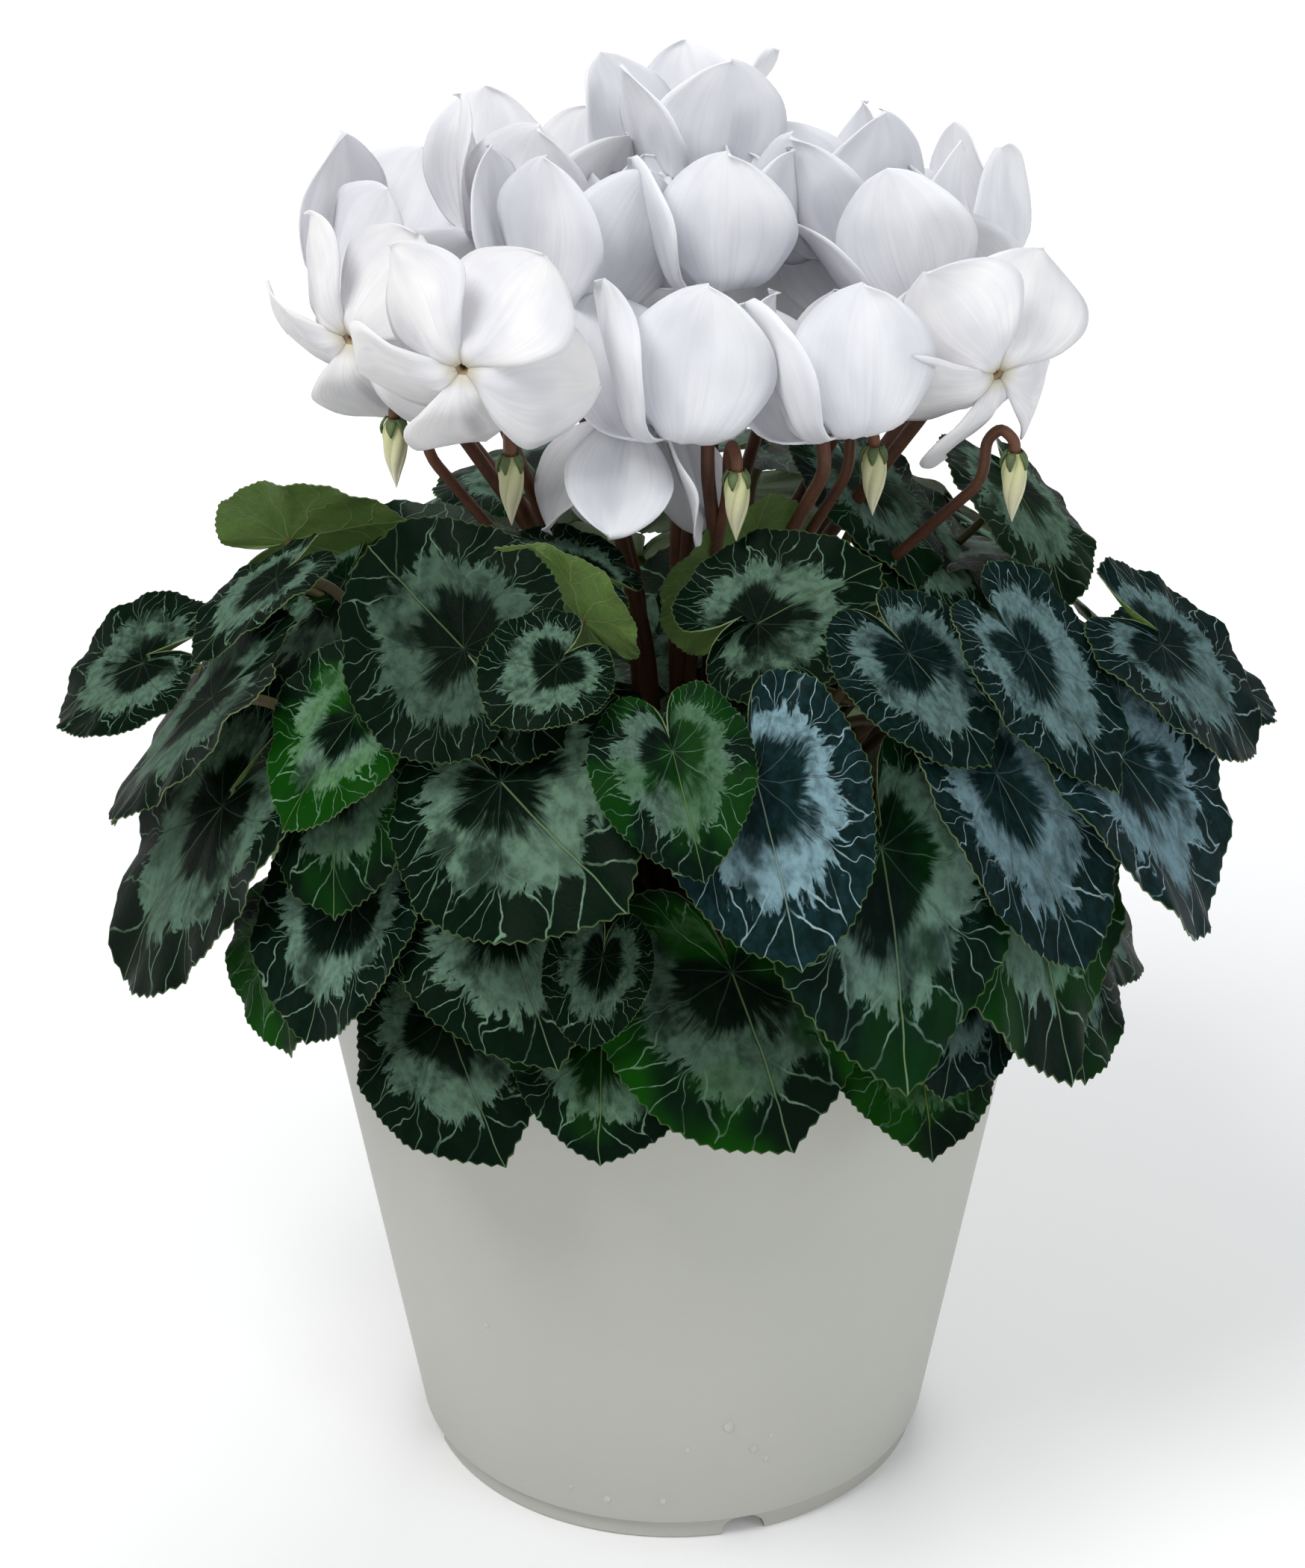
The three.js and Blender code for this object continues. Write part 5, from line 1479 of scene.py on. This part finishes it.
def make_bunches(materials):
    draw = draws(99)
    for i, row in enumerate(leaf_bunches()):
        name = f"leaf_bunch_{i + 1}"
        tree = corners_of(name)
        piece = Piece(name + "_fine")
        foot = outwards(bunch_turn(i)) * KNUCKLE_OUT + UP * (TUBER_TOP + SEAT_GAP)
        for j, leaf in enumerate(row):
            at = settle_leaf(leaf, lambda at: at["normal"], tree)
            # Each leaf's look: how silver, how much bluish sheen is painted on it and how much painted light
            # shines through it
            look = {"silver": 0.65 + 0.35 * draw(), "cool": 0.5 * draw() ** 2, "glow": 0.8 * draw() ** 3}
            add_blade(piece, leaf, at, look)
            start = outwards(turn_of(at["root"]) + 90 * j - 45) * KNUCKLE_SPREAD + foot + UP * STEM_SUNK
            score, route = best_route(leaf_routes(at, start, True), tree, LEAF_STEM_RADIUS, [1, 2])
            report(f"stem {j} of {name}", score, 8)
            add_stem(piece, route, LEAF_STEM_RADIUS, STEM_SIDES, LEAF_STEM_SLOT, swell=0.5)
        points, faces = lathe(knuckle_profile(), KNUCKLE_SIDES)
        lumps = 1 + 0.05 * bumps(points, [3.0, 4.0, 2.4], 40 + i)
        points = points * np.stack([lumps, lumps, np.ones_like(lumps)], axis=1) + foot
        piece.body(points, faces, LEAF_STEM_SLOT)
        piece.build(materials, [name], "leaf", LEAF_SHARP)


# Young leaves lie round the crown, low among the flower stems
YOUNG_LEAVES = {"from": 60, "step": 30, "count": 9, "root": [22, 228], "tip": [60, 238]}
YOUNG_STEM = {"foot": 12, "radius": 0.8 * LEAF_STEM_RADIUS, "straight": 18, "bend": 10}
CROWN_STEM = {**YOUNG_STEM, "straight": 40, "bend": 14}

# Small leaves between the front leaves and the flower stems. The last three show their backs.
CROWN_LEAVES = [
    {"root": [77, 51, 300], "tip": [60, 72, 276], "tilt": 30},
    {"root": [88, 92, 294], "tip": [74, 108, 269], "tilt": 30},
    {"root": [79, 63, 287], "tip": [62, 84, 262], "tilt": 30},
    {"root": [-81, 89, 271], "tip": [-68, 108, 243], "tilt": 30},
    {"root": [-89, 104, 278], "tip": [-80, 73, 286], "tilt": 0, "roll": -60},
    {"root": [25, 40, 276], "tip": [30, 52, 307], "tilt": -50},
    {"root": [-15, 87, 288], "tip": [-26, 101, 311], "tilt": -60, "width": 0.6, "fold": 0.2},
]


def add_young_leaf(piece, leaf, look, stem):
    """A leaf with its stem, which rises straight at first and ends with a bend under the blade."""
    at = leaf_frame(leaf)
    add_blade(piece, leaf, at, look)
    start = on_tuber(leaf["root"][0], stem["foot"])
    path = [start, start + UP * stem["straight"], at["root"] - at["normal"] * stem["bend"], at["root"]]
    add_stem(piece, path, stem["radius"], STEM_SIDES, LEAF_STEM_SLOT, swell=0.4)


def make_young_leaves(materials):
    draw = draws(808)
    piece = Piece("young_leaves")
    root_out, root_up = YOUNG_LEAVES["root"]
    tip_out, tip_up = YOUNG_LEAVES["tip"]
    for k in range(YOUNG_LEAVES["count"]):
        turn = YOUNG_LEAVES["from"] + YOUNG_LEAVES["step"] * k + 8 * (draw() - 0.5)
        leaf = {**LEAF, "tilt": 14 + 16 * draw(), "width": 0.95, "cup": 0.06, "phase": 6.28 * draw()}
        leaf["root"] = [turn, root_out + 6 * draw(), root_up + 14 * draw()]
        leaf["tip"] = [turn + 12 * (draw() - 0.5), tip_out + 8 * draw(), tip_up + 12 * draw()]
        # How silver, how much bluish sheen is painted on it and how much painted light shines through it
        look = {"silver": 0.4 + 0.4 * draw(), "cool": 0.0, "glow": 0.4 * draw()}
        add_young_leaf(piece, leaf, look, YOUNG_STEM)
    for own in CROWN_LEAVES:
        leaf = {**LEAF, **own, "phase": 6.28 * draw()}
        # How silver, how much bluish sheen is painted on it and how much painted light shines through it
        look = {"silver": 0.6 + 0.4 * draw(), "cool": 0.3 * draw(), "glow": 0.3 * draw()}
        add_young_leaf(piece, leaf, look, CROWN_STEM)
    piece.build(materials, [], "leaf", LEAF_SHARP)


def knuckle_profile():
    r, h = KNUCKLE_RADIUS, KNUCKLE_HEIGHT
    return [
        [0, 0], [0.8 * r, 0], [0.95 * r, 0.8], [r, 0.35 * h], [0.93 * r, 0.65 * h],
        [0.72 * r, 0.88 * h], [0.4 * r, h], [0, h],
    ]


BLOOM_LOOKS = {0: {"warm": 0.8}, 1: {"warm": 0.7}, 2: {"warm": 0.6}, 9: {"warm": 0.4}}


def bloom_node(corners, trees):
    """The CAD node that has a bloom."""
    scores = {name: share_found(tree, corners) for name, tree in trees.items()}
    return max(scores, key=scores.get)


def add_bloom(piece, bloom, at, number, draw):
    look = {"warm": 0.1, **BLOOM_LOOKS.get(number, {})}
    for k, turn in enumerate(petal_turns(bloom)):
        points, groups, uv = fine_petal(bloom, at, turn, number * PETALS + k)
        # Lower petals of forward-facing blooms get a strong painted shadow of the stem behind them, the rest
        # a faint one
        low = at["side"][2] * math.cos(turn) + at["other"][2] * math.sin(turn) < -0.5
        crease = 0.55 if low and bloom["nod"] < UPRIGHT_NOD else 0.08
        piece.add(points, groups, uv, {"seed": draw() * 9, "crease": crease, **look})
    points, faces, uv = flower_tube(at)
    piece.body(points, faces, 1, uv)
    end = at["at"] + at["back"] * (FLOWER_TUBE + 0.4)
    add_sepals(piece, 2, end, [at["side"], at["other"], at["back"]], 6.4, 1.5, 2.7, draw)


def add_flower_stem(stems, route):
    add_stem(stems, route, FLOWER_STEM_RADIUS, FLOWER_STEM_SIDES, 0, reach=9.0, swell=0.25, thin=0.1)


def make_blooms(materials, stems):
    names = sorted(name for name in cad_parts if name.startswith("bloom_"))
    trees = {name: corners_of(name) for name in names}
    every = corners_of(*names)
    stem_tree = corners_of("tuber_and_stems")
    pieces = {}
    draw = draws(4242)
    for number, own in enumerate(BLOOMS):
        bloom, at = settle_bloom(own, every)
        node = bloom_node(coarse_petals(bloom, at, petal_turns(bloom)), trees)
        pieces.setdefault(node, Piece(node + "_fine"))
        add_bloom(pieces[node], bloom, at, number, draw)
        out = math.hypot(at["at"][0], at["at"][1])
        start = on_tuber(turn_of(at["at"]), out * FLOWER_STEM_OUT["share"] + FLOWER_STEM_OUT["least"])
        routes = hooked_routes(flower_hooks(bloom, at), start)
        score, route = best_route(routes, stem_tree, FLOWER_STEM_RADIUS, [2, 3, 4])
        report(f"stem of bloom {number}", score, 12)
        add_flower_stem(stems, [start - UP] + route[1:])
    for node, piece in pieces.items():
        piece.build(materials, [node], "petal")
    inner = Piece("inner_bloom")
    at = bloom_frame(INNER_BLOOM)
    add_bloom(inner, INNER_BLOOM, at, len(BLOOMS), draw)
    inner.build(materials, [], "petal")
    start = on_tuber(turn_of(at["at"]), FLOWER_STEM_OUT["least"])
    add_flower_stem(stems, hooked_routes(flower_hooks(INNER_BLOOM, at), start)[0])


def add_bud(piece, at, draw):
    """A furled bud, tip down: five petals wound round each other."""
    rows = 34
    cols = 40
    share = np.linspace(0, 1, rows)[:, None]
    a = (2 * np.pi * np.arange(cols) / cols)[None, :]
    girth = along([[0, 0.5], [0.12, 0.86], [0.3, 1], [0.55, 0.84], [0.8, 0.42], [1, 0.04]], share)
    wound = PETALS * a + 7.5 * share
    lobe = np.abs(np.sin(wound / 2))
    radius = BUD_RADIUS * girth * (0.84 + 0.18 * lobe)
    z = BUD_LENGTH / 2 - (BUD_LENGTH + BUD_POINT) * share + 0 * a
    points = np.stack([radius * np.cos(a), radius * np.sin(a), z], axis=2).reshape(-1, 3) + at
    ends = np.array([at + UP * BUD_LENGTH / 2, at - UP * (BUD_LENGTH / 2 + BUD_POINT + 0.2)])
    points = np.concatenate([points, ends])
    faces = [grid_faces(rows, cols, closed=True, flip=True), fan_faces(rows * cols, 0, cols, flip=True)]
    faces.append(fan_faces(rows * cols + 1, (rows - 1) * cols, cols))
    uv = np.stack([1 - np.broadcast_to(lobe, (rows, cols)), share + 0 * a], axis=2).reshape(-1, 2)
    uv = np.concatenate([uv, [[0, 0], [0, 1]]])
    piece.body(points, faces, 0, uv)
    add_sepals(piece, 1, at + UP * (BUD_LENGTH / 2 + 0.3), np.eye(3), 4.4, 1.2, 1.7, draw)


def make_buds(materials, stems):
    tree = corners_of("tuber_and_stems")
    piece = Piece("buds")
    draw = draws(616)
    for i, wish in enumerate(BUDS):
        score, (at, route) = find_bud(wish, tree)
        report(f"bud {i}", score, 16)
        add_bud(piece, at, draw)
        add_stem(stems, [route[0] - UP] + route[1:], BUD_STEM_RADIUS, STEM_SIDES, 0, reach=5.0, swell=0.25)
    piece.build(materials, [], "petal")


def report(what, score, full):
    if score < 0.6 * full:
        print("poor match:", what, score, "of", full)


# Drops of water on the pot, by turn from the front and height, with their size
DROPS = [
    [11, 44, 1.5], [16.5, 34, 1.2], [20, 38, 0.9], [19.5, 29, 0.9], [3, 36, 0.8], [-2, 16, 1.0],
    [-14, 15, 1.1], [-22, 17, 0.9], [-37, 70, 0.9],
]
DROP_SIDES = 20


def make_drops(material):
    piece = Piece("water_drops")
    a = 2 * np.pi * np.arange(DROP_SIDES) / DROP_SIDES
    rise = np.linspace(0, math.pi / 2, 7)[:-1]
    for turn, up, size in DROPS:
        out = outwards(turn)
        at = out * (wall_radius(up) - 0.05) + UP * up
        flat = np.cos(a)[:, None] * outwards(turn + 90) + 1.25 * np.sin(a)[:, None] * UP
        rings = [at + flat * size * math.cos(r) + out * 0.55 * size * math.sin(r) for r in rise]
        points = np.concatenate(rings + [(at + out * 0.55 * size)[None], at[None]])
        total = len(rise) * DROP_SIDES
        faces = [grid_faces(len(rise), DROP_SIDES, closed=True)]
        faces.append(fan_faces(total, total - DROP_SIDES, DROP_SIDES, flip=True))
        faces.append(fan_faces(total + 1, 0, DROP_SIDES))
        piece.body(points, faces)
    piece.build([material], [], "pot")


def make_plant():
    leaf_stem = stem_material("leaf_stem", srgb(74, 42, 26), srgb(92, 84, 46), srgb(48, 24, 14))
    flower_stem = stem_material("flower_stem", srgb(82, 48, 28), srgb(104, 62, 36), srgb(48, 26, 14))
    blade = [leaf_top_material(), leaf_under_material(), leaf_rim_material(), leaf_stem]
    make_pot(pot_material())
    make_soil(soil_material())
    make_tuber(tuber_material())
    leaf_stems = Piece("leaf_stems")
    make_front_leaves(blade, leaf_stems)
    leaf_stems.build([leaf_stem], ["tuber_and_stems"], "stem")
    make_bunches(blade)
    make_young_leaves(blade)
    flower_stems = Piece("flower_stems")
    calyx = calyx_material()
    make_blooms([petal_material(), throat_material(), calyx], flower_stems)
    make_buds([bud_material(), calyx], flower_stems)
    flower_stems.build([flower_stem], [], "stem")
    make_drops(water_material())


# The studio


def make_floor():
    mesh = bpy.data.meshes.new("floor")
    corners = [(x * FLOOR_REACH, y * FLOOR_REACH, 0) for x, y in ((-1, -1), (1, -1), (1, 1), (-1, 1))]
    mesh.from_pydata(corners, [], [(0, 1, 2, 3)])
    mesh.materials.append(floor_material())
    floor = bpy.data.objects.new("floor", mesh)
    bpy.context.scene.collection.objects.link(floor)


def area_light(name, at, aim, size, power, colour=(1, 1, 1)):
    data = bpy.data.lights.new(name, "AREA")
    data.shape = "DISK"
    data.size = size
    data.energy = power
    data.color = colour
    light = bpy.data.objects.new(name, data)
    light.location = at
    light.rotation_euler = (Vector(aim) - Vector(at)).to_track_quat("-Z", "Y").to_euler()
    bpy.context.scene.collection.objects.link(light)


def make_studio():
    world = bpy.data.worlds.new("studio")
    world.use_nodes = True
    background = world.node_tree.nodes["Background"]
    background.inputs["Color"].default_value = (0.96, 0.98, 1.0, 1.0)
    background.inputs["Strength"].default_value = 0.45
    bpy.context.scene.world = world
    area_light("key", (-0.55, -0.75, 1.5), (0, 0, 0.2), 0.7, 15.5)
    area_light("fill", (1.1, -0.9, 0.9), (0, 0, 0.25), 1.0, 4.5, (0.92, 0.96, 1.0))
    area_light("back", (0.2, 1.2, 1.3), (0, 0, 0.3), 0.9, 11)
    bpy.context.scene.view_settings.view_transform = "Standard"


def make_camera():
    data = bpy.data.cameras.new("camera")
    data.sensor_width = 36
    data.lens = CAMERA_LENS
    data.shift_x = CAMERA_SHIFT
    data.clip_start = 0.01
    camera = bpy.data.objects.new("camera", data)
    camera.location = tuple(EYE * MM)
    camera.rotation_euler = (math.radians(90 - CAMERA_DOWN), 0, 0)
    bpy.context.scene.collection.objects.link(camera)
    bpy.context.scene.camera = camera


make_camera()
make_studio()
make_floor()
make_plant()
